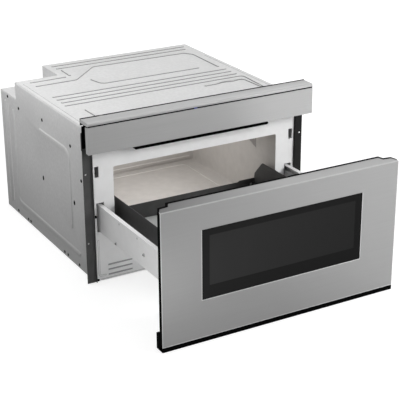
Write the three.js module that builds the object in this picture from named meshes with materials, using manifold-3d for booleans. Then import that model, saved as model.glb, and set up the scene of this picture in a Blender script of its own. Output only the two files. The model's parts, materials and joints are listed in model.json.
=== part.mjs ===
// Microwave drawer: a built-in oven whose front, basket and tray slide out together on two rails.
// Millimetres. +X is the right-hand side as the user sees it, +Y the back, +Z up.
// The origin is the centre of the body's underside. The drawer is shown open.
import * as THREE from 'three';
import { mergeVertices } from 'three/addons/utils/BufferGeometryUtils.js';
import Module from 'manifold-3d';

const wasm = await Module();
wasm.setup();

// ---------------------------------------------------------------- driving dimensions

// Steel body
const bodyWidth = 562.8;
const bodyDepth = 566;
const bodyHeight = 377.6;
const sheet = 1.2;
const gap = 0.3;
const bendRadius = 3;
const foldWidth = 8.4;

// Recess for the supply outlet, in the left rear top corner
const recessWidth = 121.6;
const recessDepth = 108;
const recessHeight = 45.3;

// Fascia and drawer front
const frontOverhang = 21.6;
const frontStandOff = 40;
const drawerOpening = 343.7;
const frontSheet = 1.2;
const doorBottom = 12.4;
const doorHeight = 308.9;
const doorThickness = 14;
const fasciaLift = 16.2;
const fasciaHeight = 64.7;

// Window
const glassWidth = 412;
const glassHeight = 162.5;
const glassBottom = 102;
const glassThickness = 4;
const viewWidth = 375;
const viewHeight = 115.5;
const viewBottom = 133;

// Finger strip folded back from the top of the door
const stripDepth = 30.7;
const stripEndDepth = 17.5;
const stripHalfWidth = 268.4;
const stripSlope = 0.137;

// White front frame, set in from the body's sides
const frameInset = 4;
const mouthInset = 57.4;
const mouthBottom = 83;
const mouthBelowDoorTop = 37.3;
const mouthRadius = 4;
const railSlotInset = 30.4;
const railSlotWidth = 19.5;
const railSlotBottom = 127;
const railSlotHeight = 73;
const latchSlotInset = 19.9;
const latchSlotWidth = 10.5;
const latchSlotHeight = 26.5;
const latchBelowDoorTop = 30.3;

// Cavity, with the machine room behind it
const machineRoom = 140;
const cavitySheet = 1;
const stirrerHoleRadius = 74;

// Basket and tray
const basketSideGap = 14;
const basketRearGap = 5.3;
const basketLift = 9;
const basketHeight = 106;
const basketRearHeight = 51;
const basketSheet = 1.2;
const trayLift = 7;
const trayThickness = 4;

// Rails
const bracketWidth = 11;
const bracketBelowSlotTop = 5;
const bracketAboveSlotBottom = 1;
const slideHeight = 45;
const slideFit = 0.4;

// Rack and pinion that drive the drawer
const gearModule = 2;
const pinionTeeth = 12;
const pinionFromFrame = 21;
const rackBacklash = 0.2;
const openReserve = 40;

// Control unit, tilting out about its lower front edge
const tiltAxisDepth = 8;
const tiltAxisHeight = 3.5;
const capThickness = 8.4;
const seam = 2.2;
const housingSheet = 1.5;
const pinRadius = 3;

// ---------------------------------------------------------------- derived places

const bodyHalf = bodyWidth / 2;
const frontHalf = bodyHalf + frontOverhang;
const frameY = -bodyDepth / 2;
const rearY = bodyDepth / 2;
const frameBackY = frameY + sheet;
const rearInnerY = rearY - sheet;
const frontY = frameY - frontStandOff;
const doorTop = doorBottom + doorHeight;
const doorBackY = frontY + doorThickness;
const topUnder = bodyHeight - sheet;
const sideTop = topUnder - gap;
const skirtBottom = 0.5;
const floorTop = sheet;
const seatOnFloor = floorTop + gap;
const sideInner = bodyHalf - sheet;
const recessX = -(bodyHalf - recessWidth);
const recessY = rearY - recessDepth;
const recessZ = bodyHeight - recessHeight;
const frameHalf = bodyHalf - frameInset;
const mouthHalf = bodyHalf - mouthInset;
const mouthTop = doorTop - mouthBelowDoorTop;
const cavityFrontY = frameBackY + gap;
const cavityRearY = rearY - machineRoom;
const cavityDepth = cavityRearY - cavityFrontY;
const cavityOuter = mouthHalf + cavitySheet;
const cavityMidY = (cavityFrontY + cavityRearY) / 2;
const cavityBackFace = cavityRearY + cavitySheet;
const railSlotInner = bodyHalf - railSlotInset;
const railSlotOuter = railSlotInner + railSlotWidth;
const latchSlotInner = bodyHalf - latchSlotInset;
const latchSlotBottom = doorTop - latchBelowDoorTop - latchSlotHeight;
const bracketBottom = railSlotBottom + bracketAboveSlotBottom;
const bracketTop = railSlotBottom + railSlotHeight - bracketBelowSlotTop;
const slideRear = cavityRearY - 3;
const bracketRear = slideRear - 8;
const supportInner = railSlotInner - sheet - gap;
const railMidZ = (bracketTop + bracketBottom) / 2;
const bracketOuter = railSlotOuter - 5.5;
const bracketInner = bracketOuter - bracketWidth;
const chokeBackY = frameY - 0.5;
const basketFrontY = chokeBackY + gap;
const basketRearY = basketFrontY + cavityDepth - basketRearGap;
const basketHalf = mouthHalf - basketSideGap;
const basketBottom = mouthBottom + basketLift;
const basketTop = basketBottom + basketHeight;
const basketRearTop = basketBottom + basketRearHeight;
const traySeat = basketBottom + trayLift;
const fasciaBottom = doorTop + fasciaLift;
const fasciaTop = fasciaBottom + fasciaHeight;
const tiltY = frontY + tiltAxisDepth;
const tiltZ = fasciaBottom + tiltAxisHeight;
const capBottom = fasciaTop + seam;
const capTop = capBottom + capThickness;

// ---------------------------------------------------------------- outlines

const arcSteps = 4;

function rectangle(x0, y0, x1, y1) {
  return outline([[x0, y0], [x1, y0], [x1, y1], [x0, y1]]);
}

function outline(points) {
  return new THREE.Shape(points.map(([x, y]) => new THREE.Vector2(x, y)));
}

function roundedRectangle(x0, y0, x1, y1, radius) {
  const shape = new THREE.Shape();
  shape.absarc(x1 - radius, y0 + radius, radius, -Math.PI / 2, 0);
  shape.absarc(x1 - radius, y1 - radius, radius, 0, Math.PI / 2);
  shape.absarc(x0 + radius, y1 - radius, radius, Math.PI / 2, Math.PI);
  shape.absarc(x0 + radius, y0 + radius, radius, Math.PI, 1.5 * Math.PI);
  return shape;
}

function disc(x, y, radius) {
  const shape = new THREE.Shape();
  shape.absarc(x, y, radius, 0, 2 * Math.PI);
  return shape;
}

// An outline whose corners are rounded; each point is [x, y, radius].
function filleted(points, steps = arcSteps) {
  const corners = [];
  points.forEach(([x, y, radius = 0], i) => {
    const here = new THREE.Vector2(x, y);
    if (radius === 0) {
      corners.push(here);
      return;
    }
    const before = new THREE.Vector2(...points[(i + points.length - 1) % points.length]);
    const after = new THREE.Vector2(...points[(i + 1) % points.length]);
    corners.push(...filletPoints(before, here, after, radius, steps));
  });
  return new THREE.Shape(corners);
}

function filletPoints(before, here, after, radius, steps) {
  const toBefore = before.clone().sub(here).normalize();
  const toAfter = after.clone().sub(here).normalize();
  const halfAngle = Math.acos(THREE.MathUtils.clamp(toBefore.dot(toAfter), -1, 1)) / 2;
  const reach = radius / Math.tan(halfAngle);
  const centre = toBefore.clone().add(toAfter).normalize()
    .multiplyScalar(radius / Math.sin(halfAngle)).add(here);
  const first = toBefore.multiplyScalar(reach).add(here).sub(centre);
  const last = toAfter.multiplyScalar(reach).add(here).sub(centre);
  const sweep = Math.atan2(first.cross(last), first.dot(last));
  const points = [];
  for (let i = 0; i <= steps; i += 1) {
    const turn = (sweep * i) / steps;
    points.push(first.clone().rotateAround(new THREE.Vector2(), turn).add(centre));
  }
  return points;
}

// ---------------------------------------------------------------- solids

function solidOf(geometry) {
  const bare = geometry.clone();
  bare.deleteAttribute('normal');
  bare.deleteAttribute('uv');
  const merged = mergeVertices(bare, 1e-4);
  return new wasm.Manifold(new wasm.Mesh({
    numProp: 3,
    vertProperties: new Float32Array(merged.attributes.position.array),
    triVerts: new Uint32Array(merged.index.array),
  }));
}

function join(...solids) {
  return solids.reduce((sum, solid) => sum.add(solid));
}

function cut(solid, ...tools) {
  return tools.reduce((rest, tool) => rest.subtract(tool), solid);
}

function extruded(shape, depth, holes, curveSegments) {
  const outlineWithHoles = shape.clone();
  outlineWithHoles.holes.push(...holes);
  return new THREE.ExtrudeGeometry(outlineWithHoles, { depth, bevelEnabled: false, curveSegments });
}

// A prism whose outline lies in XY.
function prismZ(shape, z0, z1, holes = [], segments = arcSteps) {
  const geometry = extruded(shape, z1 - z0, holes, segments);
  geometry.translate(0, 0, z0);
  return solidOf(geometry);
}

// A prism whose outline lies in XZ.
function prismY(shape, y0, y1, holes = [], segments = arcSteps) {
  const geometry = extruded(shape, y1 - y0, holes, segments);
  geometry.rotateX(Math.PI / 2);
  geometry.translate(0, y1, 0);
  return solidOf(geometry);
}

const yzToXyz = new THREE.Matrix4().makeBasis(
  new THREE.Vector3(0, 1, 0),
  new THREE.Vector3(0, 0, 1),
  new THREE.Vector3(1, 0, 0),
);

// A prism whose outline lies in YZ, between two places along X in either order.
function prismX(shape, xa, xb, holes = [], segments = arcSteps) {
  const geometry = extruded(shape, Math.abs(xb - xa), holes, segments);
  geometry.applyMatrix4(yzToXyz);
  geometry.translate(Math.min(xa, xb), 0, 0);
  return solidOf(geometry);
}

// A block between two corners given in either order.
function block([xa, ya, za], [xb, yb, zb]) {
  const geometry = new THREE.BoxGeometry(Math.abs(xb - xa), Math.abs(yb - ya), Math.abs(zb - za));
  geometry.translate((xa + xb) / 2, (ya + yb) / 2, (za + zb) / 2);
  return solidOf(geometry);
}

function cylinderZ(x, y, z0, z1, radius, sides = 24) {
  const geometry = new THREE.CylinderGeometry(radius, radius, z1 - z0, sides);
  geometry.rotateX(Math.PI / 2);
  geometry.translate(x, y, (z0 + z1) / 2);
  return solidOf(geometry);
}

function cylinderY(x, z, y0, y1, radius, sides = 24) {
  const geometry = new THREE.CylinderGeometry(radius, radius, y1 - y0, sides);
  geometry.translate(x, (y0 + y1) / 2, z);
  return solidOf(geometry);
}

function cylinderX(y, z, xa, xb, radius, sides = 24) {
  const geometry = new THREE.CylinderGeometry(radius, radius, Math.abs(xb - xa), sides);
  geometry.rotateZ(Math.PI / 2);
  geometry.translate((xa + xb) / 2, y, z);
  return solidOf(geometry);
}

// ---------------------------------------------------------------- stamped ribs

const topRib = { width: 9, height: 1.8, flank: 2.4, bend: 14 };
const sideRib = { width: 16, height: 1.8, flank: 3.5, bend: 22 };
const ribSink = 0.5;

// The centre line of a rib, with its corners rounded.
function ribLine(points, bend) {
  const corners = points.map(([x, y]) => new THREE.Vector2(x, y));
  const line = [corners[0]];
  for (let i = 1; i < corners.length - 1; i += 1) {
    line.push(...filletPoints(corners[i - 1], corners[i], corners[i + 1], bend, 3));
  }
  line.push(corners[corners.length - 1]);
  return line;
}

// The anticlockwise outline of a line drawn with a round-ended stroke.
function stroke(line, width) {
  const half = width / 2;
  const left = [];
  const right = [];
  line.forEach((point, i) => {
    const ahead = line[Math.min(i + 1, line.length - 1)];
    const behind = line[Math.max(i - 1, 0)];
    const along = ahead.clone().sub(behind).normalize();
    const across = new THREE.Vector2(-along.y, along.x).multiplyScalar(half);
    left.push(point.clone().add(across));
    right.push(point.clone().sub(across));
  });
  const cap = (point, from, steps = 3) => {
    const points = [];
    for (let i = 1; i < steps; i += 1) {
      const turn = (-Math.PI * i) / steps;
      points.push(from.clone().sub(point).rotateAround(new THREE.Vector2(), turn).add(point));
    }
    return points;
  };
  const end = line[line.length - 1];
  const clockwise = [
    ...left,
    ...cap(end, left[left.length - 1]),
    ...right.reverse(),
    ...cap(line[0], right[right.length - 1]),
  ];
  return clockwise.reverse();
}

// A solid between two anticlockwise outlines with as many points each, at two heights.
function loft(lower, upper, z0, z1) {
  const count = lower.length;
  const positions = [];
  lower.forEach((point) => positions.push(point.x, point.y, z0));
  upper.forEach((point) => positions.push(point.x, point.y, z1));
  const index = [];
  THREE.ShapeUtils.triangulateShape(lower, []).forEach(([a, b, c]) => {
    index.push(a, c, b);
    index.push(a + count, b + count, c + count);
  });
  for (let i = 0; i < count; i += 1) {
    const next = (i + 1) % count;
    index.push(i, next, next + count);
    index.push(i, next + count, i + count);
  }
  const geometry = new THREE.BufferGeometry();
  geometry.setAttribute('position', new THREE.Float32BufferAttribute(positions, 3));
  geometry.setIndex(index);
  return geometry;
}

// A stamped rib stands on the plane z = 0 of its own drawing and reaches into the sheet below.
function ribGeometry(points, { width, height, flank, bend }) {
  const line = ribLine(points, bend);
  return loft(stroke(line, width), stroke(line, width - 2 * flank), -ribSink, height);
}

function ribsOnTop(paths, z) {
  return paths.map((path) => {
    const geometry = ribGeometry(path, topRib);
    geometry.translate(0, 0, z);
    return solidOf(geometry);
  });
}

// Ribs drawn in (y, z) that stand out from a side wall; side is -1 for left and 1 for right.
function ribsOnSide(paths, x, side) {
  return paths.map((path) => {
    const drawn = side > 0 ? path : path.map(([y, z]) => [-y, z]);
    const geometry = ribGeometry(drawn, sideRib);
    geometry.applyMatrix4(yzToXyz);
    if (side < 0) {
      geometry.rotateZ(Math.PI);
    }
    geometry.translate(x, 0, 0);
    return solidOf(geometry);
  });
}

// Ribs drawn in (x, z) that stand out towards -Y from a wall.
function ribsOnFront(paths, y, form) {
  return paths.map((path) => {
    const geometry = ribGeometry(path, form);
    geometry.rotateX(Math.PI / 2);
    geometry.translate(0, y, 0);
    return solidOf(geometry);
  });
}

// ---------------------------------------------------------------- scene graph

const microwaveDrawer = new THREE.Group();
const drawer = new THREE.Group();
drawer.position.y = -drawerOpening;
const middleSlides = new THREE.Group();
middleSlides.position.y = -drawerOpening / 2;
microwaveDrawer.add(drawer, middleSlides);

function finish(color, roughness, metalness = 0) {
  return new THREE.MeshStandardMaterial({ color, roughness, metalness });
}

const greySteel = finish(0xc9c9c9, 0.55, 0.3);
const whiteEnamel = finish(0xdedede, 0.45);
const cavityEnamel = finish(0xaaa49e, 0.4);
const brushedSteel = finish(0xadadad, 0.35, 0.9);
const blackSteel = finish(0x262626, 0.5, 0.2);
const blackPlastic = finish(0x161616, 0.6);
const blackGlass = finish(0x1f1f1f, 0.08);
const clearGlass = finish(0xd8dddb, 0.1);
const zincSteel = finish(0x9c9c9c, 0.4, 0.8);
const darkScreen = finish(0x333333, 0.5, 0.4);
const copperWinding = finish(0x8a4f2a, 0.45, 0.6);
const boardGreen = finish(0x2f5a3a, 0.6);
const greyPlastic = finish(0x8d8d8d, 0.6);
const micaSheet = finish(0xa39c94, 0.7);

function node(group, name, solid, material) {
  const { vertProperties, triVerts } = solid.getMesh();
  const geometry = new THREE.BufferGeometry();
  geometry.setAttribute('position', new THREE.BufferAttribute(vertProperties, 3));
  geometry.setIndex(new THREE.BufferAttribute(triVerts, 1));
  geometry.computeVertexNormals();
  const mesh = new THREE.Mesh(geometry, material);
  mesh.name = name;
  group.add(mesh);
}

const sides = [['left', -1], ['right', 1]];

// ---------------------------------------------------------------- body panels

const backRibs = [
  [[-140, rearY - 26], [258, rearY - 26]],
  [[-138, rearY - 52], [249, rearY - 52]],
  [[-247, recessY - 29], [-151, recessY - 26]],
  [[-246, recessY - 66], [-137, recessY - 63], [-50, rearY - 82], [228, rearY - 86],
    [246, rearY - 112], [243, rearY - 249]],
  [[-132, rearY - 71], [-134, rearY - 125]],
  [[-101, rearY - 191], [-92, rearY - 236], [189, rearY - 236]],
];
const crossRibs = 3;
const crossRibPitch = 26.4;
const lastCrossRib = frameY + 205.5;
const frontRibs = [
  [[-248, lastCrossRib], [256, lastCrossRib + 4], [250, frameY + 95]],
  [[125, frameY + 177], [156, frameY + 178], [176, frameY + 185], [204, frameY + 178],
    [240, frameY + 187], [244, frameY + 105]],
  [[-219, frameY + 152], [-217.5, frameY + 95]],
];
const topEdgeInset = 1.8;

function topCover() {
  const frontCorner = frameBackY + gap;
  const half = bodyHalf - topEdgeInset;
  const plan = filleted([
    [-half, frontCorner, 0],
    [-frameHalf, frontCorner, 0],
    [-frameHalf, frameY, 0],
    [frameHalf, frameY, 0],
    [frameHalf, frontCorner, 0],
    [half, frontCorner, 0],
    [half, rearY, bendRadius],
    [recessX, rearY, 0],
    [recessX, recessY, 0],
    [-half, recessY, bendRadius],
  ]);
  const shell = prismZ(plan, topUnder, bodyHeight);
  const crossing = Array.from({ length: crossRibs }, (unused, i) => {
    const y = lastCrossRib + (i + 1) * crossRibPitch;
    return [[-246, y], [246, y]];
  });
  return join(shell, ...ribsOnTop([...backRibs, ...crossing, ...frontRibs], bodyHeight));
}

// Side wall with a rounded top edge and an inward fold, as a section in (x, z).
function sideSection(side, top) {
  const outer = side * bodyHalf;
  const inner = side * sideInner;
  const fold = side * (bodyHalf - foldWidth);
  return filleted([
    [outer, skirtBottom, 0],
    [outer, top, bendRadius],
    [fold, top, 0],
    [fold, top - sheet, 0],
    [inner, top - sheet, bendRadius - sheet],
    [inner, skirtBottom, 0],
  ], 4);
}

// Places on the side walls, in (y, z).
const sideHoleRadius = 3;
const sideHoles = [
  [rearY - 50, bodyHeight - 53.2],
  [recessY - 16, bodyHeight - 66.6],
  [frameY + 282, bodyHeight - 49.6],
  [frameY + 112, bodyHeight - 67.6],
  [frameY + 56, bodyHeight - 137.6],
];
const sideOvalWidth = 5;
const sideOvalHeight = 9;
const sideOvalMiddle = 168;
const sideOvals = [frameY + 294.6, frameY + 103];
const skirtHoleZ = 9;
const skirtHoles = [209, 137, 120.5, -104, -125, -193.4];
const sideRibTop = bodyHeight - 85.6;
const sideRibLow = 40;
const sideRibs = [
  [[frameY + 300, sideRibTop], [frameY + 124, sideRibTop], [frameY + 124, 100]],
  [[rearY - 34, bodyHeight - 72.6], [rearY - 34, 27]],
  [[rearY - 85, sideRibTop], [rearY - 85, sideRibLow], [frameY + 85, sideRibLow]],
];

function sidePanel(side) {
  const rear = rearInnerY - gap;
  const front = frameBackY + gap;
  const x0 = side * (bodyHalf - 2 * sheet);
  const x1 = side * (bodyHalf + sheet);
  const solids = [];
  if (side < 0) {
    const lowTop = recessZ - sheet - gap;
    solids.push(prismY(sideSection(side, sideTop), front, recessY - sheet - gap));
    solids.push(prismY(sideSection(side, lowTop), recessY - sheet - 1, rear));
  } else {
    solids.push(prismY(sideSection(side, sideTop), front, rear));
  }
  const frontFold = block(
    [side * (bodyHalf - foldWidth), front, skirtBottom],
    [side * (bodyHalf - sheet / 2), front + sheet, sideTop - bendRadius],
  );
  const holes = sideHoles.map(([y, z]) => cylinderX(y, z, x0, x1, sideHoleRadius, 10));
  const reachY = sideOvalWidth / 2;
  const reachZ = sideOvalHeight / 2;
  const ovals = sideOvals.map((y) => prismX(
    roundedRectangle(y - reachY, sideOvalMiddle - reachZ, y + reachY, sideOvalMiddle + reachZ, reachY * 0.96),
    x0, x1, [], 3));
  const skirt = skirtHoles.map((y) => cylinderX(y, skirtHoleZ, x0, x1, 2, 8));
  const ribs = ribsOnSide(sideRibs, side * bodyHalf, side);
  return cut(join(...solids, frontFold, ...ribs), ...holes, ...ovals, ...skirt);
}

// Louvre slots through a wall that faces Y, in rows and columns from (x0, z0).
function slotRows(x0, z0, { columns, rows, length, width, pitchX, pitchZ }, y0, y1) {
  const slots = [];
  for (let column = 0; column < columns; column += 1) {
    for (let row = 0; row < rows; row += 1) {
      const x = x0 + column * pitchX;
      const z = z0 + row * pitchZ;
      slots.push(block([x, y0, z], [x + length, y1, z + width]));
    }
  }
  return slots;
}

// Blower, placed behind the cavity on the left
const blowerX = -165;
const blowerZ = 125;
const wheelRadius = 44;
const inletRadius = 40;
const rearSlots = { columns: 2, length: 36, width: 5, pitchX: 44, pitchZ: 13 };
const exhaustX = 140;
const exhaustZ = 60;

function rearPanel() {
  const face = outline([
    [-bodyHalf, skirtBottom],
    [bodyHalf, skirtBottom],
    [bodyHalf, sideTop],
    [recessX, sideTop],
    [recessX, recessZ - sheet - gap],
    [-bodyHalf, recessZ - sheet - gap],
  ]);
  const intake = slotRows(blowerX - inletRadius, blowerZ - 36, { ...rearSlots, rows: 6 },
    rearInnerY - 1, rearY + 1);
  const exhaust = slotRows(exhaustX, exhaustZ, { ...rearSlots, rows: 5 }, rearInnerY - 1, rearY + 1);
  return cut(prismY(face, rearInnerY, rearY), ...intake, ...exhaust);
}

const panRim = 14;
const panFront = frameBackY + gap + sheet + gap;

function basePan() {
  const half = sideInner - gap;
  const front = panFront;
  const back = rearInnerY - gap;
  const outer = roundedRectangle(-half, front, half, back, bendRadius);
  const inner = roundedRectangle(-half + sheet, front + sheet, half - sheet, back - sheet,
    bendRadius - sheet);
  const floor = prismZ(outer, 0, floorTop, [], 2);
  const rim = prismZ(outer, 0, panRim, [inner], 2);
  return join(floor, rim);
}

// Walls and floor of the recess, one folded sheet.
function recessCover() {
  const left = -bodyHalf + gap;
  const right = recessX + sheet;
  const back = rearInnerY - gap;
  const shelf = block([left, recessY - sheet, recessZ - sheet], [right, back, recessZ]);
  const across = block([left, recessY - sheet, recessZ - sheet], [right, recessY, sideTop]);
  const along = block([recessX, recessY - sheet, recessZ - sheet], [right, back, sideTop]);
  const glandHole = cylinderY(glandX, glandZ, recessY - 2 * sheet, recessY + sheet, glandRadius);
  return cut(join(shelf, across, along), glandHole);
}

const glandX = -225;
const glandZ = recessZ + 22;
const glandRadius = 8;

// Bushing for the supply cord, open through its middle.
function cordGland() {
  const profile = [
    [4.5, -6], [glandRadius - gap, -6], [glandRadius - gap, gap], [13, gap], [13, 3],
    [9, 4], [7.5, 12], [4.5, 12],
  ].map(([r, y]) => new THREE.Vector2(r, y));
  const geometry = new THREE.LatheGeometry([...profile, profile[0]], 16);
  geometry.translate(glandX, recessY, glandZ);
  return solidOf(geometry);
}

// ---------------------------------------------------------------- front frame and trims

const louvreLeft = -frameHalf + 31.9;
const louvreFirst = 10.5;
const louvres = { columns: 1, rows: 3, length: 63.5, width: 4, pitchX: 0, pitchZ: 12.9 };
const cornerBead = { width: 6.5, height: 0.9, flank: 2, bend: 6 };

function frontFrame() {
  const face = rectangle(-frameHalf, skirtBottom, frameHalf, sideTop);
  const mouth = roundedRectangle(-mouthHalf, mouthBottom, mouthHalf, mouthTop, mouthRadius);
  const plate = prismY(face, frameY, frameBackY, [mouth]);
  const cuts = [];
  sides.forEach(([, side]) => {
    cuts.push(block(
      [side * railSlotInner, frameY - 1, railSlotBottom],
      [side * railSlotOuter, frameBackY + 1, railSlotBottom + railSlotHeight],
    ));
    cuts.push(block(
      [side * latchSlotInner, frameY - 1, latchSlotBottom],
      [side * (latchSlotInner + latchSlotWidth), frameBackY + 1, latchSlotBottom + latchSlotHeight],
    ));
  });
  cuts.push(...slotRows(louvreLeft, louvreFirst, louvres, frameY - 1, frameBackY + 1));
  const beadX = -frameHalf + 8;
  const beadZ = skirtBottom + 12.5;
  const bead = [[beadX, railSlotBottom - 22], [beadX, beadZ], [beadX + 16, beadZ]];
  return cut(join(plate, ...ribsOnFront([bead], frameY, cornerBead)), ...cuts);
}

const trimWidth = 23.3;
const trimStep = 1.5;
const trimNotch = 6;
const trimHoleInset = 7;
const trimInner = frameHalf + gap;
const trimOuter = trimInner + trimWidth;
const trimTop = fasciaTop - 5.2;
const trimFront = frameY - 0.6;
const trimBack = frameBackY;
const trimHoles = [103.3, fasciaBottom - 61];

// Flat black flange that is screwed to the cabinet beside the opening. Its rear face is stepped
// forward where it passes in front of the body's side.
function mountingFlange(side) {
  const shape = filleted([
    [side * trimInner, 0, 0],
    [side * trimOuter, 0, 0],
    [side * trimOuter, fasciaBottom - 2.5, 2],
    [side * (trimOuter + trimStep), fasciaBottom, 0],
    [side * (trimOuter + trimStep), fasciaTop - 24, 0],
    [side * (trimOuter - trimNotch), fasciaTop - 20, 2],
    [side * (trimOuter - trimNotch), trimTop, 2],
    [side * trimInner, trimTop, 0],
  ], 3);
  const holes = trimHoles.map((z) => disc(side * (trimOuter - trimHoleInset), z, 2.4));
  const plate = prismY(shape, trimFront, trimBack, holes, 3);
  const lip = block(
    [side * trimInner, trimFront - 5, 0],
    [side * (trimInner + 1.5), trimBack, fasciaBottom - 7.5],
  );
  const step = block(
    [side * (trimInner - 1), trimBack - gap, -1],
    [side * (bodyHalf + sideRib.height + gap), trimBack + 1, trimTop + 1],
  );
  return cut(join(plate, lip), step);
}

// ---------------------------------------------------------------- cavity

// Lamp window in the right wall of the cavity, in (y, z).
const lampFront = frameY + 88;
const lampRear = lampFront + 62;
const lampTop = mouthTop - 22;
const lampLow = lampTop - 45;
const lampHigh = lampTop - 26;

function lampOutline(inset) {
  return outline([
    [lampFront + inset, lampLow + inset],
    [lampRear - inset, lampHigh + inset],
    [lampRear - inset, lampTop - inset],
    [lampFront + inset, lampTop - inset],
  ]);
}

const wallRib = { width: 12, height: 3, flank: 4, bend: 6 };
const wallRibRise = 8.5;

function cavityShell() {
  const flange = 12;
  const section = (grow) => roundedRectangle(-mouthHalf - grow, mouthBottom - grow, mouthHalf + grow,
    mouthTop + grow, mouthRadius + grow);
  const walls = prismY(section(cavitySheet), cavityFrontY, cavityRearY + 0.5, [section(0)], 3);
  const rear = prismY(section(cavitySheet), cavityRearY, cavityBackFace, [], 3);
  const rim = prismY(section(flange), cavityFrontY, cavityFrontY + cavitySheet, [section(0)], 3);
  const hole = cylinderZ(0, cavityMidY, mouthBottom - 3, mouthBottom + 1, stirrerHoleRadius, 24);
  const lamp = prismX(lampOutline(3), mouthHalf - 1, cavityOuter + 1);
  const ribReach = mouthHalf - 14;
  const ribPaths = [mouthBottom + wallRibRise, mouthTop - 30].map((z) => [[-ribReach, z], [ribReach, z]]);
  return cut(join(walls, rear, rim, ...ribsOnFront(ribPaths, cavityRearY, wallRib)), hole, lamp);
}

const plateThickness = 1.5;
const plateSideGap = 44;
const plateFrontGap = 40;
const plateRearGap = 31;
const plateCorner = 20;

// Sheet over the stirrer that lets the microwaves through.
function floorPlate() {
  const half = mouthHalf - plateSideGap;
  const shape = roundedRectangle(-half, cavityFrontY + plateFrontGap, half, cavityRearY - plateRearGap,
    plateCorner);
  return prismZ(shape, mouthBottom + gap, mouthBottom + gap + plateThickness);
}

function lampWindow() {
  const x0 = cavityOuter + gap;
  const holes = [];
  for (let row = 0; row < 2; row += 1) {
    for (let column = 0; column < 4; column += 1) {
      const y = lampFront + 14 + column * 11;
      const z = lampTop - 10 - row * 11;
      holes.push(disc(y, z, 3.2));
    }
  }
  return prismX(lampOutline(-2), x0, x0 + 1, holes, 2);
}

// Cup over the lamp window, open towards it, with the lamp inside.
function lampHousing() {
  const x0 = cavityOuter + gap + 1 + gap;
  const depth = 18;
  const shell = prismX(lampOutline(-2), x0, x0 + depth);
  const hollow = prismX(lampOutline(0), x0 - 1, x0 + depth - 1.5);
  const bulb = cylinderX((lampFront + lampRear) / 2, lampTop - 14, x0 + 4, x0 + depth, 7, 16);
  return join(cut(shell, hollow), bulb);
}

// ---------------------------------------------------------------- microwave source and cooling

const wellDepth = 23;
const wellBottom = mouthBottom - wellDepth;
const wellRadius = stirrerHoleRadius + 4;
const wellRim = 10;
const guideHalf = 42;
const guideBottom = 13;
const guideTop = wellBottom - gap;
const guideWall = 1.2;
const antennaHole = 20;
const magnetronY = cavityRearY + 52;

// Round cup under the cavity floor in which the stirrer turns.
function stirrerWell() {
  const top = mouthBottom - cavitySheet - gap;
  const cup = cylinderZ(0, cavityMidY, wellBottom, top, wellRadius + cavitySheet);
  const hollow = cylinderZ(0, cavityMidY, wellBottom + cavitySheet, top + 1, wellRadius);
  const rim = cylinderZ(0, cavityMidY, top - cavitySheet, top, wellRadius + wellRim);
  const feed = cylinderZ(0, cavityMidY, wellBottom - 1, top, antennaHole, 16);
  return cut(join(cup, rim), hollow, feed);
}

function waveguide() {
  const front = cavityMidY - guideHalf - 3;
  const back = magnetronY + guideHalf;
  const tube = block([-guideHalf, front, guideBottom], [guideHalf, back, guideTop]);
  const inside = block(
    [-guideHalf + guideWall, front + guideWall, guideBottom + guideWall],
    [guideHalf - guideWall, back - guideWall, guideTop - guideWall],
  );
  const feed = cylinderZ(0, cavityMidY, guideTop - 2, guideTop + 1, antennaHole, 16);
  const antenna = cylinderZ(0, magnetronY, guideTop - 2, guideTop + 1, antennaHole, 16);
  const shaft = cylinderZ(0, cavityMidY, guideBottom - 1, guideBottom + 2, pinRadius + 2, 12);
  return cut(tube, inside, feed, antenna, shaft);
}

const motorTop = guideBottom - gap;
const shaftDepth = 5;

function stirrerMotor() {
  const earReach = 36;
  const earHalf = 8;
  const can = cylinderZ(0, cavityMidY, seatOnFloor, motorTop, 25);
  const ears = prismZ(
    roundedRectangle(-earReach, cavityMidY - earHalf, earReach, cavityMidY + earHalf, earHalf - 1),
    motorTop - 2, motorTop, [], 3);
  const bore = cylinderZ(0, cavityMidY, motorTop - shaftDepth - gap, motorTop + 1, pinRadius + gap, 16);
  return cut(join(can, ears), bore);
}

// Rotating antenna: a hub with four flared arms of unequal length.
function stirrer() {
  const bladeZ = wellBottom + 8;
  const armLengths = [62, 48, 62, 54];
  const rootHalf = 7;
  const tipHalf = 16;
  const hub = cylinderZ(0, cavityMidY, wellBottom + 3, bladeZ + 3, 9, 16);
  const shaft = cylinderZ(0, cavityMidY, motorTop - shaftDepth, bladeZ, pinRadius, 16);
  const arms = armLengths.map((length, i) => {
    const neck = length * 0.6;
    const shape = filleted([[0, -rootHalf], [neck, -rootHalf], [length, -tipHalf, 4],
      [length, tipHalf, 4], [neck, rootHalf], [0, rootHalf]], 2);
    const geometry = extruded(shape, 1, [], 2);
    geometry.rotateZ((i * Math.PI) / 2);
    geometry.translate(0, cavityMidY, bladeZ);
    return solidOf(geometry);
  });
  return join(hub, shaft, ...arms);
}

const magnetronHalf = 48;
const magnetronDepth = 40;
const magnetronHeight = 95;

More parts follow.
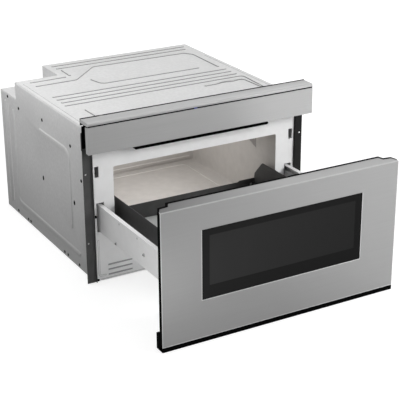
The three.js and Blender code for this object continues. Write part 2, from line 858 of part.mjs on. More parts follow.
// Magnetron: yoke, anode with cooling fins, filter box, and an antenna down into the waveguide.
function magnetron() {
  const base = wellBottom;
  const front = magnetronY - magnetronDepth;
  const back = magnetronY + magnetronDepth;
  const top = base + magnetronHeight;
  const plate = 2;
  const fins = 4;
  const finPitch = 12;
  const half = magnetronHalf;
  const foot = block([-half, front, base], [half, back, base + plate]);
  const lid = block([-half, front, top - plate], [half, back, top]);
  const walls = [front, back - plate].map((y) => block([-half, y, base], [half, y + plate, top]));
  const anode = cylinderZ(0, magnetronY, base, top, 20, 16);
  const plates = [];
  for (let i = 0; i < fins; i += 1) {
    const z = base + 24 + i * finPitch;
    plates.push(block([-half + 4, front + 1, z], [half - 4, back - 1, z + 1]));
  }
  const filter = block([-30, magnetronY - 28, top - 1], [30, magnetronY + 28, top + 24]);
  const antenna = cylinderZ(0, magnetronY, base - 14, base + 1, 8, 12);
  return join(foot, lid, ...walls, anode, ...plates, filter, antenna);
}

const transformerLeft = 118;
const transformerWidth = 104;
const transformerFront = cavityRearY + 17;
const transformerDepth = 62;
const transformerHeight = 84;
const transformerFoot = 10;

// High-voltage transformer: laminated core with two coils through its windows.
function transformer() {
  const left = transformerLeft;
  const right = left + transformerWidth;
  const front = transformerFront;
  const back = front + transformerDepth;
  const inset = 16;
  const bulge = 14;
  const coilHeight = 26;
  const coilPitch = 34;
  const core = block([left, front, seatOnFloor], [right, back, seatOnFloor + transformerHeight]);
  const coils = [0, 1].map((i) => {
    const z = seatOnFloor + 12 + i * coilPitch;
    return prismZ(
      roundedRectangle(left + inset, front - bulge + 1, right - inset, back + bulge, 10),
      z, z + coilHeight, [], 3);
  });
  const feet = block(
    [left - transformerFoot, front + 8, seatOnFloor],
    [right + transformerFoot, back - 8, seatOnFloor + 2],
  );
  return join(core, ...coils, feet);
}

function capacitor() {
  const width = 50;
  const depth = 32;
  const height = 90;
  const right = transformerLeft - transformerFoot - 1;
  const left = right - width;
  const front = transformerFront + 20;
  const top = seatOnFloor + height;
  const can = prismZ(roundedRectangle(left, front, right, front + depth, depth / 2 - 0.5), seatOnFloor, top);
  const middle = front + depth / 2;
  const terminals = [left + 12, right - 12].map(
    (x) => block([x - 3, middle - 4, top - 1], [x + 3, middle + 4, top + 13]));
  return join(can, ...terminals);
}

// Power board on four posts at the back of the cavity; each part is [left, depth, bottom, width, height].
function powerBoard() {
  const left = -70;
  const width = 200;
  const height = 88;
  const postInset = 8;
  const top = mouthTop - 6;
  const low = top - height;
  const face = cavityBackFace + 8;
  const back = face + 1.6;
  const board = block([left, face, low], [left + width, back, top]);
  const posts = [left + postInset, left + width - postInset].flatMap(
    (x) => [low + postInset, top - postInset].map(
      (z) => cylinderY(x, z, cavityBackFace + gap, face + 1, 4, 10)));
  const parts = [
    [6, 30, 18, 28, 40],
    [70, 10, 16, 28, 56],
    [116, 26, 14, 16, 24],
    [144, 16, 50, 42, 26],
  ].map(([x, depth, z, partWidth, partHeight]) => block(
    [left + x, back - 0.5, low + z],
    [left + x + partWidth, back + depth, low + z + partHeight],
  ));
  return join(board, ...posts, ...parts);
}

const blowerDepth = 57;
const blowerBack = rearInnerY - gap;
const blowerFront = blowerBack - blowerDepth;
const scrollStart = 52;
const scrollGrowth = 18;
const outletTop = blowerZ - 18;
const outletX = -95;

// Snail outline in (x, z) that widens towards its outlet at the lower right.
function scrollOutline(inset, reach) {
  const points = [];
  const steps = 18;
  const from = -0.08 * Math.PI;
  const to = 1.5 * Math.PI;
  for (let i = 0; i <= steps; i += 1) {
    const angle = from + ((to - from) * i) / steps;
    const radius = scrollStart + (scrollGrowth * i) / steps - inset;
    points.push([blowerX + radius * Math.cos(angle), blowerZ + radius * Math.sin(angle)]);
  }
  const floor = blowerZ - scrollStart - scrollGrowth + inset;
  points.push([outletX + reach, floor], [outletX + reach, outletTop - inset]);
  return outline(points);
}

function blowerHousing() {
  const wall = 1.5;
  const shell = prismY(scrollOutline(0, 0), blowerFront, blowerBack);
  const hollow = prismY(scrollOutline(wall, 2), blowerFront + wall, blowerBack - wall);
  const inlet = cylinderY(blowerX, blowerZ, blowerBack - 3, blowerBack + 1, inletRadius);
  const shaft = cylinderY(blowerX, blowerZ, blowerFront - 1, blowerFront + 3, 8, 12);
  return cut(shell, hollow, inlet, shaft);
}

// Squirrel-cage wheel: back plate, front ring and slanted blades.
function blowerWheel() {
  const front = blowerFront + 6;
  const back = front + 40;
  const blades = 12;
  const bladeDepth = 9;
  const plate = cylinderY(blowerX, blowerZ, front, front + 1.5, wheelRadius, blades * 2);
  const ring = prismY(disc(blowerX, blowerZ, wheelRadius), back - 2, back,
    [disc(blowerX, blowerZ, wheelRadius - bladeDepth)], blades);
  const hub = cylinderY(blowerX, blowerZ, front, front + 14, 8, 12);
  const shaft = cylinderY(blowerX, blowerZ, blowerFront - 12, front + 1, pinRadius, 12);
  const vanes = [];
  for (let i = 0; i < blades; i += 1) {
    const geometry = new THREE.BoxGeometry(bladeDepth + 1, back - front - 2, 1.4);
    geometry.rotateY(0.6);
    geometry.translate(wheelRadius - bladeDepth / 2 - 1, (front + back) / 2, 0);
    geometry.rotateY((2 * Math.PI * i) / blades);
    geometry.translate(blowerX, 0, blowerZ);
    vanes.push(solidOf(geometry));
  }
  return join(plate, ring, hub, shaft, ...vanes);
}

function blowerMotor() {
  const front = blowerFront - 52;
  const can = cylinderY(blowerX, blowerZ, front, blowerFront - gap, 30, 20);
  const bore = cylinderY(blowerX, blowerZ, blowerFront - 13, blowerFront + 1, pinRadius + gap, 12);
  const lamination = block(
    [blowerX - 34, front + 12, blowerZ - 22],
    [blowerX + 34, front + 34, blowerZ + 22],
  );
  return cut(join(can, lamination), bore);
}

// Duct that leads the air from the blower to the magnetron's fins.
function airDuct() {
  const floor = blowerZ - scrollStart - scrollGrowth;
  const section = (inset) => rectangle(
    blowerFront + inset, floor + inset, blowerBack - inset, outletTop - inset);
  const near = outletX + gap;
  const far = -magnetronHalf - gap;
  return prismX(section(0), near, far, [section(1.2)]);
}

// ---------------------------------------------------------------- slides, latches and drive

// C-shaped slide member, as a section in (x, z); web at x0, lips reaching to x1.
function slideSection(x0, x1, halfHeight) {
  const inward = Math.sign(x1 - x0);
  return outline([
    [x0, railMidZ - halfHeight],
    [x1, railMidZ - halfHeight],
    [x1, railMidZ - halfHeight + sheet],
    [x0 + inward * sheet, railMidZ - halfHeight + sheet],
    [x0 + inward * sheet, railMidZ + halfHeight - sheet],
    [x1, railMidZ + halfHeight - sheet],
    [x1, railMidZ + halfHeight],
    [x0, railMidZ + halfHeight],
  ]);
}

const cabinetHalfHeight = slideHeight / 2;
const middleHalfHeight = cabinetHalfHeight - sheet - slideFit;
const drawerHalfHeight = middleHalfHeight - sheet - slideFit;
const cabinetWeb = railSlotInner;
const middleWeb = cabinetWeb + sheet + 2 * slideFit;
const drawerWeb = bracketOuter - sheet - gap;

function cabinetSlide(side) {
  const section = slideSection(side * cabinetWeb, side * (drawerWeb - slideFit + 0.3), cabinetHalfHeight);
  return prismY(section, frameBackY + gap, slideRear);
}

function middleSlide(side) {
  const section = slideSection(side * middleWeb, side * (drawerWeb - sheet - 0.6), middleHalfHeight);
  return prismY(section, frameY + 8, slideRear - 15);
}

function drawerSlide(side) {
  const section = slideSection(side * drawerWeb, side * (middleWeb + sheet + slideFit * 2), drawerHalfHeight);
  return prismY(section, frameY, bracketRear - 15);
}

const pinionRadius = (gearModule * pinionTeeth) / 2;
const pinionY = frameY + pinionFromFrame;
const rackPitchX = bracketOuter - 11.5;
const pinionX = rackPitchX - pinionRadius;
const rackBottom = bracketBottom + sheet + gap;
const rackHeight = 8.5;
const gearboxTop = bracketBottom;

// Holes that lighten the wall of a slide support, spaced evenly between its ends.
const supportHoles = 3;
const supportHoleFront = 56.5;
const supportHoleRear = 35;
const supportHoleSpacing = 30;

// Wall between cavity and rail that carries the fixed slide member.
function slideSupport(side) {
  const outer = side * (supportInner + sheet);
  const inner = side * supportInner;
  const top = railMidZ + cabinetHalfHeight;
  const front = cavityFrontY;
  const toe = panFront + sheet + gap;
  const profile = filleted([
    [front, panRim + gap], [toe, panRim + gap], [toe, seatOnFloor],
    [slideRear, seatOnFloor, 8], [slideRear, top, 8], [front, top],
  ], 3);
  const holesFront = front + supportHoleFront;
  const reach = slideRear - supportHoleRear - holesFront;
  const holeWidth = (reach + supportHoleSpacing) / supportHoles - supportHoleSpacing;
  const holes = Array.from({ length: supportHoles }, (unused, i) => {
    const y = holesFront + i * (holeWidth + supportHoleSpacing);
    return roundedRectangle(y, panRim + 10, y + holeWidth, bracketBottom - 24, 12);
  });
  const wall = prismX(profile, inner, outer, holes, 2);
  const foot = block([side * (supportInner - 13), toe, seatOnFloor], [outer, slideRear, seatOnFloor + sheet]);
  const window = block(
    [side * (supportInner - 1), pinionY - pinionRadius - 2, rackBottom - 2],
    [side * (supportInner + sheet + 1), pinionY + pinionRadius + 2, rackBottom + rackHeight + 1],
  );
  return side > 0 ? cut(join(wall, foot), window) : join(wall, foot);
}

// White bracket between door and slide: a C-shaped rail with a bolted flange at the door.
function railBracket(side) {
  const outer = side * bracketOuter;
  const inner = side * bracketInner;
  const web = side * (bracketOuter - sheet);
  const section = outline([
    [outer, bracketBottom], [inner, bracketBottom], [inner, bracketBottom + sheet],
    [web, bracketBottom + sheet], [web, bracketTop - sheet], [inner, bracketTop - sheet],
    [inner, bracketTop], [outer, bracketTop],
  ]);
  const front = doorBackY + gap;
  const rail = prismY(section, front, bracketRear);
  const flange = block(
    [side * bracketInner, front, bracketBottom - 6],
    [side * (bracketOuter + 10), front + sheet, bracketTop + 6],
  );
  return join(rail, flange);
}

// Toothed rack inside the right bracket, teeth towards the cavity.
function driveRack() {
  const pitch = Math.PI * gearModule;
  const lead = 2 * pitch;
  const openEnd = pinionY + drawerOpening + openReserve + lead;
  const closedEnd = pinionY - lead;
  const tip = rackPitchX - gearModule;
  const root = rackPitchX + 1.25 * gearModule;
  const spread = gearModule * Math.tan(THREE.MathUtils.degToRad(20));
  const half = pitch / 4 - rackBacklash / 2;
  const first = Math.ceil((closedEnd - pinionY - drawerOpening) / pitch);
  const last = Math.floor((openEnd - pinionY - drawerOpening) / pitch);
  const start = pinionY + drawerOpening + (first - 0.5) * pitch;
  const end = pinionY + drawerOpening + (last + 0.5) * pitch;
  const points = [[bracketOuter - sheet - gap, start], [root, start]];
  for (let i = first; i <= last; i += 1) {
    const y = pinionY + drawerOpening + i * pitch;
    points.push([root, y - half - 1.25 * spread], [tip, y - half + spread]);
    points.push([tip, y + half - spread], [root, y + half + 1.25 * spread]);
  }
  points.push([root, end], [bracketOuter - sheet - gap, end]);
  return prismZ(outline(points), rackBottom, rackBottom + rackHeight);
}

// Pinion with straight-flanked teeth; a tooth gap faces the rack at rest.
function drivePinion() {
  const tipRadius = pinionRadius + gearModule;
  const rootRadius = pinionRadius - 1.25 * gearModule;
  const toothAngle = (2 * Math.PI) / pinionTeeth;
  const points = [];
  for (let i = 0; i < pinionTeeth; i += 1) {
    const middle = (i + 0.5) * toothAngle;
    const corners = [
      [rootRadius, -0.3], [pinionRadius, -0.22], [tipRadius, -0.08],
      [tipRadius, 0.08], [pinionRadius, 0.22], [rootRadius, 0.3],
    ];
    corners.forEach(([radius, part]) => {
      const angle = middle + part * toothAngle;
      points.push([pinionX + radius * Math.cos(angle), pinionY + radius * Math.sin(angle)]);
    });
  }
  const gear = prismZ(outline(points), rackBottom + 0.3, rackBottom + rackHeight - 0.7);
  const shaft = cylinderZ(pinionX, pinionY, gearboxTop - shaftDepth, rackBottom + 1, pinRadius);
  return join(gear, shaft);
}

// Gear motor under the pinion, screwed to the slide support.
function drawerMotor() {
  const face = supportInner - gap;
  const width = 20;
  const front = cavityFrontY + cavitySheet + gap;
  const gearbox = block([face - width, front, gearboxTop - 20], [face, pinionY + 18, gearboxTop - gap]);
  const can = cylinderZ(face - width / 2, pinionY, 42, gearboxTop - 19, width / 2);
  const bore = cylinderZ(pinionX, pinionY, gearboxTop - shaftDepth - gap, gearboxTop + 1, pinRadius + gap);
  return cut(join(gearbox, can), bore);
}

const hookInner = latchSlotInner + 2.5;
const hookWidth = latchSlotWidth - 5;

// Block behind the latch slot that the hook of the door enters.
function interlockSwitch(side) {
  const front = frameBackY + gap;
  const x0 = side * (latchSlotInner - 4.5);
  const x1 = side * (bodyHalf - foldWidth - gap - 0.8);
  const body = block(
    [x0, front, latchSlotBottom - 9],
    [x1, front + 38, latchSlotBottom + latchSlotHeight + 9],
  );
  const pocket = block(
    [side * latchSlotInner, front - 1, latchSlotBottom],
    [side * (latchSlotInner + latchSlotWidth - 0.8), front + 34, latchSlotBottom + latchSlotHeight],
  );
  return cut(body, pocket);
}

// Hook on the back of the door, seen from the side in (y, z).
function latchHook(side) {
  const root = doorBackY + gap;
  const tip = frameBackY + 24;
  const low = latchSlotBottom + 4;
  const high = latchSlotBottom + latchSlotHeight - 4;
  const shape = filleted([
    [root, low - 8], [root + 3, low - 8], [root + 3, low], [tip - 9, low], [tip - 9, low - 2.5],
    [tip, low - 2.5, 1.5], [tip, low + 6, 3], [tip - 12, high, 3], [root + 3, high],
    [root + 3, high + 8], [root, high + 8],
  ], 3);
  return prismX(shape, side * hookInner, side * (hookInner + hookWidth));
}

// ---------------------------------------------------------------- door

const windowShape = (grow) => rectangle(-glassWidth / 2 - grow, glassBottom - grow, glassWidth / 2 + grow,
  glassBottom + glassHeight + grow);
const viewShape = (grow) => rectangle(-viewWidth / 2 - grow, viewBottom - grow, viewWidth / 2 + grow,
  viewBottom + viewHeight + grow);

// Raises every point in proportion to its distance behind the door's face.
function sheared(geometry) {
  const places = geometry.attributes.position;
  for (let i = 0; i < places.count; i += 1) {
    places.setZ(i, places.getZ(i) + stripSlope * (places.getY(i) - frontY));
  }
  return geometry;
}

// Plan of the finger strip, stepped back at both ends.
function stripPlan(back) {
  const ends = [
    [frontHalf, frontY],
    [frontHalf - 1, frontY + 6],
    [frontHalf - 8.4, frontY + stripEndDepth + back],
    [stripHalfWidth + 5.8, frontY + stripEndDepth + 2 + back],
    [stripHalfWidth, frontY + stripDepth + back],
  ];
  return outline([...ends, ...ends.map(([x, y]) => [-x, y]).reverse()]);
}

function doorSkin() {
  const face = roundedRectangle(-frontHalf, doorBottom, frontHalf, doorTop, 0.8);
  const plate = prismY(face, frontY, frontY + frontSheet, [windowShape(0)], 2);
  const strip = extruded(stripPlan(0), frontSheet, [], 2);
  strip.translate(0, 0, doorTop - frontSheet);
  return join(plate, solidOf(sheared(strip)));
}

function windowGlass() {
  return prismY(windowShape(-gap), frontY + 0.6, frontY + 0.6 + glassThickness);
}

const screenFront = frontY + 0.6 + glassThickness + gap;
const screenThickness = 0.8;

function windowScreen() {
  return prismY(viewShape(7), screenFront, screenFront + screenThickness);
}

const ledgeReach = 3;

// Black frame behind the steel skin, with seats for the glass and the screen.
function doorFrame() {
  const front = frontY + frontSheet + gap;
  const half = frontHalf - 0.6;
  const face = rectangle(-half, doorBottom + 0.6, half, doorTop - frontSheet - gap);
  const plate = prismY(face, front, doorBackY);
  const ledge = extruded(stripPlan(ledgeReach), 8, [], 2);
  ledge.translate(0, 0, doorTop - frontSheet - gap - 8);
  const skinSpace = block([-frontHalf, frontY - 1, doorTop - 30], [frontHalf, front, doorTop + 20]);
  const glassSeat = prismY(windowShape(gap), front - 1, screenFront);
  const screenSeat = prismY(viewShape(7 + gap), front - 1, screenFront + screenThickness + gap);
  const view = prismY(viewShape(0), front - 1, doorBackY + 1);
  return cut(join(plate, cut(solidOf(sheared(ledge)), skinSpace)), glassSeat, screenSeat, view);
}

const chokeCover = 20;
const chokeHalf = mouthHalf + chokeCover + 2;
const chokeBottom = mouthBottom - chokeCover;
const chokeTop = mouthTop + chokeCover;

// Ring that closes on the front frame, with the groove that holds the microwaves back.
function doorChoke() {
  const ring = (inset) => roundedRectangle(-chokeHalf + inset, chokeBottom + inset, chokeHalf - inset,
    chokeTop - inset, 10 - inset / 2);
  const body = prismY(ring(0), doorBackY + gap, chokeBackY, [viewShape(0)], 3);
  const groove = prismY(ring(5), chokeBackY - 18, chokeBackY + 1, [ring(15)], 3);
  const seat = prismY(viewShape(8), chokeBackY - 4 - gap, chokeBackY + 1);
  return cut(body, groove, seat);
}

function innerWindow() {
  return prismY(viewShape(8 - gap), chokeBackY - 4, chokeBackY);
}

// Black strip under the door, with a short upright tab at each end.
function baseTrim() {
  const low = 1;
  const back = frontY + 28;
  const tabTop = 39;
  const tabWidth = 7;
  const section = outline([
    [frontY, low], [back, low], [back, low + 1.5], [frontY + 1.6, low + 1.5],
    [frontY + 1.6, doorBottom - 1.5], [doorBackY, doorBottom - 1.5], [doorBackY, doorBottom + gap],
    [frontY + frontSheet + gap, doorBottom + gap], [frontY + frontSheet + gap, doorBottom - gap],
    [frontY, doorBottom - gap],
  ]);
  const strip = prismX(section, -frontHalf, frontHalf);
  const tabs = sides.map(([, side]) => block(
    [side * (frontHalf - tabWidth), doorBackY + gap, low],
    [side * frontHalf, back, tabTop],
  ));
  return join(strip, ...tabs);
}

// ---------------------------------------------------------------- basket

const rearCornerDrop = 38;
const rearWallEnd = basketRearTop + 3;

// Side wall of the basket in (y, z); its top falls away towards the lower rear wall.
function basketSide() {
  return filleted([
    [basketFrontY, basketBottom], [basketRearY, basketBottom], [basketRearY, rearWallEnd],
    [basketRearY - 2.5, basketTop - rearCornerDrop, 6],
    [basketRearY - rearCornerDrop, basketTop, 12],
    [basketFrontY, basketTop],
  ], 3);
}

function basket() {
  const half = basketHalf;
  const inner = half - basketSheet;
  const walls = sides.map(([, side]) => prismX(basketSide(), side * inner, side * half));
  const ledgeWidth = 26;
  const opening = roundedRectangle(-inner + ledgeWidth, basketFrontY + ledgeWidth, inner - ledgeWidth,
    basketRearY - ledgeWidth, 20);
  const ledge = prismZ(rectangle(-inner - 0.5, basketFrontY, inner + 0.5, basketRearY),
    traySeat - basketSheet, traySeat, [opening], 3);
  const shoulder = inner - 44;
  const rearWall = prismY(outline([
    [-half, basketBottom], [half, basketBottom], [half, rearWallEnd],
    [shoulder, rearWallEnd], [shoulder - 6, basketRearTop],
    [-shoulder + 6, basketRearTop], [-shoulder, rearWallEnd], [-half, rearWallEnd],
  ]), basketRearY - basketSheet, basketRearY);
  const frontWall = block(
    [-half, basketFrontY, basketBottom],
    [half, basketFrontY + basketSheet, viewBottom - 12],
  );
  const ears = sides.map(([, side]) => block(
    [side * half, basketFrontY, basketBottom],
    [side * (half - 13), basketFrontY + basketSheet, basketTop - 4],
  ));
  return join(...walls, ledge, rearWall, frontWall, ...ears);
}

function glassTray() {
  const half = basketHalf - basketSheet - 0.5;
  const shape = roundedRectangle(-half, basketFrontY + basketSheet + 0.5, half,
    basketRearY - basketSheet - 0.5, 10);
  return prismZ(shape, traySeat + gap, traySeat + gap + trayThickness, [], 3);
}

// ---------------------------------------------------------------- control unit

const housingBack = frameY - gap;
const housingFront = housingBack - housingSheet;
const earOuter = frameHalf;
const earInner = earOuter - housingSheet;
const shelfTop = fasciaBottom - 2;
const shelfSetBack = 9;
const capRearRise = 1.4;

// Black housing above the mouth: back plate, bottom shelf and two ears with the tilt pins.
function controlHousing() {
  const low = shelfTop - housingSheet;
  const lower = block([-earOuter, housingFront, low], [earOuter, housingBack, capBottom]);
  const upper = block(
    [-frontHalf, housingFront, trimTop + 1],
    [frontHalf, housingBack, capTop + capRearRise],
  );
  const shelf = block([-earOuter, frontY + shelfSetBack, low], [earOuter, housingBack, shelfTop]);
  const earShape = outline([
    [tiltY, low], [housingBack, low], [housingBack, fasciaTop - 4], [tiltY - 4.5, fasciaTop - 4],
    [tiltY - 4.5, tiltZ + 3], [tiltY - 3, tiltZ - 5],
  ]);
  const ears = sides.map(([, side]) => prismX(earShape, side * earInner, side * earOuter));
  const pins = sides.map(([, side]) => cylinderX(
    tiltY, tiltZ, side * (earInner - 8), side * (earOuter - 0.5), pinRadius - 0.2, 16));
  return join(lower, upper, shelf, ...ears, ...pins);
}

const stripLensHalf = 181.5;
const stripLensHeight = 7.3;
const stripLensDepth = 15;

// Dark strip under the control unit.
function sensorStrip() {
  const top = shelfTop - housingSheet - gap;
  const shape = roundedRectangle(-stripLensHalf, top - stripLensHeight, stripLensHalf, top,
    stripLensHeight * 0.49);
  return prismY(shape, frontY + shelfSetBack, frontY + shelfSetBack + stripLensDepth);
}

// Steel cap over the control unit: a channel with a rounded front edge and closed ends.
function topCap() {
  const back = housingFront - gap;
  const profile = filleted([
    [frontY, capBottom], [frontY, capTop, 4], [back, capTop], [back, capBottom],
  ], 4);
  const hollow = filleted([
    [frontY + frontSheet, capBottom - 1], [frontY + frontSheet, capTop - frontSheet, 2.8],
    [back - frontSheet, capTop - frontSheet], [back - frontSheet, capBottom - 1],
  ], 4);
  return cut(prismX(profile, -frontHalf, frontHalf), prismX(hollow, -frontHalf + 1.5, frontHalf - 1.5));
}

const fasciaReturn = 12;

// Steel fascia: a shallow tray with folded edges.
function fasciaPanel() {
  const face = roundedRectangle(-frontHalf, fasciaBottom, frontHalf, fasciaTop, 0.8);
  const plate = prismY(face, frontY, frontY + frontSheet, [], 2);
  const fold = block(
    [-frontHalf + 1, frontY + 0.5, fasciaTop - frontSheet],
    [frontHalf - 1, frontY + 4, fasciaTop - 0.05],
  );
  const ends = sides.map(([, side]) => block(
    [side * (frontHalf - frontSheet), frontY + 0.5, fasciaBottom + 1],
    [side * (frontHalf - 0.05), frontY + fasciaReturn, fasciaTop - 1],
  ));
  return join(plate, fold, ...ends);
}

const unitHalf = earInner - 0.6;
const glassFront = [frontY + 4.8, fasciaTop - 0.6];
const glassBack = [frontY + 36, fasciaTop - 7.2];
const touchThickness = 2.5;

// Points of a band that follows the sloping top of the control unit, at two depths below it.
function slopingBand(depth0, depth1, trimFrontEdge = 0) {
  const [y0, z0] = glassFront;
  const [y1, z1] = glassBack;
  const length = Math.hypot(y1 - y0, z1 - z0);
  const down = [(z1 - z0) / length, -(y1 - y0) / length];
  const along = [(y1 - y0) / length, (z1 - z0) / length];
  const a = [y0 + along[0] * trimFrontEdge, z0 + along[1] * trimFrontEdge];
  return [
    [a[0] + down[0] * depth0, a[1] + down[1] * depth0],
    [y1 + down[0] * depth0, z1 + down[1] * depth0],
    [y1 + down[0] * depth1, z1 + down[1] * depth1],
    [a[0] + down[0] * depth1, a[1] + down[1] * depth1],
  ];
}

function touchGlass() {
  return prismX(outline(slopingBand(0, touchThickness, 1.2)), -unitHalf, unitHalf);
}

const carrierWall = 2;

// Carrier that the fascia and the touch glass are fixed to, open at the back and below.
function controlCarrier() {
  const wall = carrierWall;
  const low = fasciaBottom + frontSheet + gap;
  const face = frontY + frontSheet + gap;
  const seat = slopingBand(touchThickness + gap, touchThickness + gap + wall);
  const section = outline([
    [face, low], [face + wall + 10, low], [face + wall + 10, low + wall], [face + wall, low + wall],
    [face + wall, seat[3][1] - 1], seat[3], seat[2], seat[1], [face + 1.5, seat[0][1]],
    [face, seat[0][1] - 1.5],
  ]);
  const skin = prismX(section, -unitHalf, unitHalf);
  const cheekShape = outline([
    [face + 0.1, low + 0.1], [face + 12, low + 0.1], [glassBack[0] - 1, low + 26], seat[2], seat[1],
    [face + 1.5, seat[0][1]], [face + 0.1, seat[0][1] - 1.5],
  ]);
  const cheeks = sides.map(([, side]) => prismX(cheekShape, side * unitHalf, side * (unitHalf - 8)));
  const bores = sides.map(([, side]) => cylinderX(
    tiltY, tiltZ, side * (unitHalf - 9), side * (unitHalf + 1), pinRadius, 16));
  return cut(join(skin, ...cheeks), ...bores);
}

function controlBoard() {
  const half = unitHalf - 75;
  const front = frontY + frontSheet + gap + carrierWall + gap;
  const low = fasciaBottom + 14;
  const board = block([-half, front, low], [half, front + 1.6, fasciaTop - 12]);
  const chips = 4;
  const chipPitch = (2 * half) / chips;
  const chipWidth = 28;
  const parts = Array.from({ length: chips }, (unused, i) => {
    const x = -half + chipPitch * (i + 0.5) - chipWidth / 2;
    return block([x, front + 1, low + 8], [x + chipWidth, front + 9, low + 26]);
  });
  return join(board, ...parts);
}

// ---------------------------------------------------------------- assembly

node(microwaveDrawer, 'base_pan', basePan(), greySteel);
node(microwaveDrawer, 'rear_panel', rearPanel(), greySteel);
node(microwaveDrawer, 'top_cover', topCover(), greySteel);
node(microwaveDrawer, 'recess_cover', recessCover(), greySteel);
node(microwaveDrawer, 'cord_gland', cordGland(), blackPlastic);
node(microwaveDrawer, 'front_frame', frontFrame(), whiteEnamel);
node(microwaveDrawer, 'cavity_shell', cavityShell(), cavityEnamel);
node(microwaveDrawer, 'cavity_floor_plate', floorPlate(), micaSheet);
node(microwaveDrawer, 'lamp_window', lampWindow(), cavityEnamel);
node(microwaveDrawer, 'lamp_housing', lampHousing(), zincSteel);
node(microwaveDrawer, 'stirrer_well', stirrerWell(), zincSteel);
node(microwaveDrawer, 'waveguide', waveguide(), zincSteel);
node(microwaveDrawer, 'stirrer_motor', stirrerMotor(), zincSteel);
node(microwaveDrawer, 'stirrer', stirrer(), zincSteel);
node(microwaveDrawer, 'magnetron', magnetron(), zincSteel);
node(microwaveDrawer, 'transformer', transformer(), copperWinding);
node(microwaveDrawer, 'capacitor', capacitor(), zincSteel);
node(microwaveDrawer, 'power_board', powerBoard(), boardGreen);
node(microwaveDrawer, 'blower_housing', blowerHousing(), blackPlastic);
node(microwaveDrawer, 'blower_wheel', blowerWheel(), greyPlastic);
node(microwaveDrawer, 'blower_motor', blowerMotor(), zincSteel);
node(microwaveDrawer, 'air_duct', airDuct(), blackPlastic);
node(microwaveDrawer, 'drawer_motor', drawerMotor(), blackPlastic);
node(microwaveDrawer, 'drive_pinion', drivePinion(), zincSteel);
node(microwaveDrawer, 'control_housing', controlHousing(), blackSteel);
node(microwaveDrawer, 'sensor_strip', sensorStrip(), blackPlastic);
node(microwaveDrawer, 'top_cap', topCap(), brushedSteel);
node(microwaveDrawer, 'fascia_panel', fasciaPanel(), brushedSteel);
node(microwaveDrawer, 'control_carrier', controlCarrier(), blackPlastic);
node(microwaveDrawer, 'touch_glass', touchGlass(), blackGlass);
node(microwaveDrawer, 'control_board', controlBoard(), boardGreen);
node(drawer, 'door_skin', doorSkin(), brushedSteel);
node(drawer, 'window_glass', windowGlass(), blackGlass);
node(drawer, 'window_screen', windowScreen(), darkScreen);
node(drawer, 'door_frame', doorFrame(), blackPlastic);
node(drawer, 'door_choke', doorChoke(), blackPlastic);
node(drawer, 'inner_window', innerWindow(), clearGlass);
node(drawer, 'base_trim', baseTrim(), blackPlastic);
node(drawer, 'basket', basket(), blackSteel);
node(drawer, 'glass_tray', glassTray(), clearGlass);
node(drawer, 'drive_rack', driveRack(), greyPlastic);
sides.forEach(([name, side]) => {
  node(microwaveDrawer, `${name}_side_panel`, sidePanel(side), greySteel);
  node(microwaveDrawer, `${name}_mounting_flange`, mountingFlange(side), blackSteel);
  node(microwaveDrawer, `${name}_slide_support`, slideSupport(side), zincSteel);
  node(microwaveDrawer, `${name}_cabinet_slide`, cabinetSlide(side), zincSteel);
  node(microwaveDrawer, `${name}_interlock_switch`, interlockSwitch(side), greyPlastic);
  node(middleSlides, `${name}_middle_slide`, middleSlide(side), zincSteel);
  node(drawer, `${name}_drawer_slide`, drawerSlide(side), zincSteel);
  node(drawer, `${name}_rail_bracket`, railBracket(side), whiteEnamel);
  node(drawer, `${name}_latch_hook`, latchHook(side), blackSteel);
});

export default microwaveDrawer;
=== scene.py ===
import json
import math

import bmesh
import bpy
from mathutils import Matrix, Vector


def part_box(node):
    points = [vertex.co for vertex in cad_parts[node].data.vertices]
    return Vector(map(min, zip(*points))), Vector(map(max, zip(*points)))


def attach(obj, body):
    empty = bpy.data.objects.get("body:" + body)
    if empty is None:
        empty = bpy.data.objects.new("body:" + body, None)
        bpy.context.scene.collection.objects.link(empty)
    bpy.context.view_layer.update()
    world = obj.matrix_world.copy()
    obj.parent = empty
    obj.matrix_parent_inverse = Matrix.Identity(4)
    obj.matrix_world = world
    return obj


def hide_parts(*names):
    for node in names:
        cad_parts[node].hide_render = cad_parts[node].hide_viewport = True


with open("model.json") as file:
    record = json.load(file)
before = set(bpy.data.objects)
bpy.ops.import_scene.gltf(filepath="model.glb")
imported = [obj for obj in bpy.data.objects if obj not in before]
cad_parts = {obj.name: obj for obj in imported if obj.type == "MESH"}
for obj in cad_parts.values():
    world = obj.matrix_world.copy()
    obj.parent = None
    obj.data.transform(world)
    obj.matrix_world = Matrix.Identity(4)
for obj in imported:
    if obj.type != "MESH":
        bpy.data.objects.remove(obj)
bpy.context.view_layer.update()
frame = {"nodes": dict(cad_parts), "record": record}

nodes = frame["nodes"]
bodies = frame["record"]["behaviour"]["bodies"]
body_of_node = {node: body for body, members in bodies.items() for node in members}
slot_of_node = {part["node"]: part["material_slot"] for part in frame["record"]["subparts"]}

MM = 0.001
TOP_PANEL = 377.6 * MM

# ---------------------------------------------------------------- camera

CAMERA_AT = Vector((-1.3214, -2.6360, 1.2600))
CAMERA_FORWARD = Vector((0.4547, 0.8058, -0.3794)).normalized()
CAMERA_ROLL = math.radians(-0.371)
CAMERA_LENS = 107.49
SENSOR = 36.0


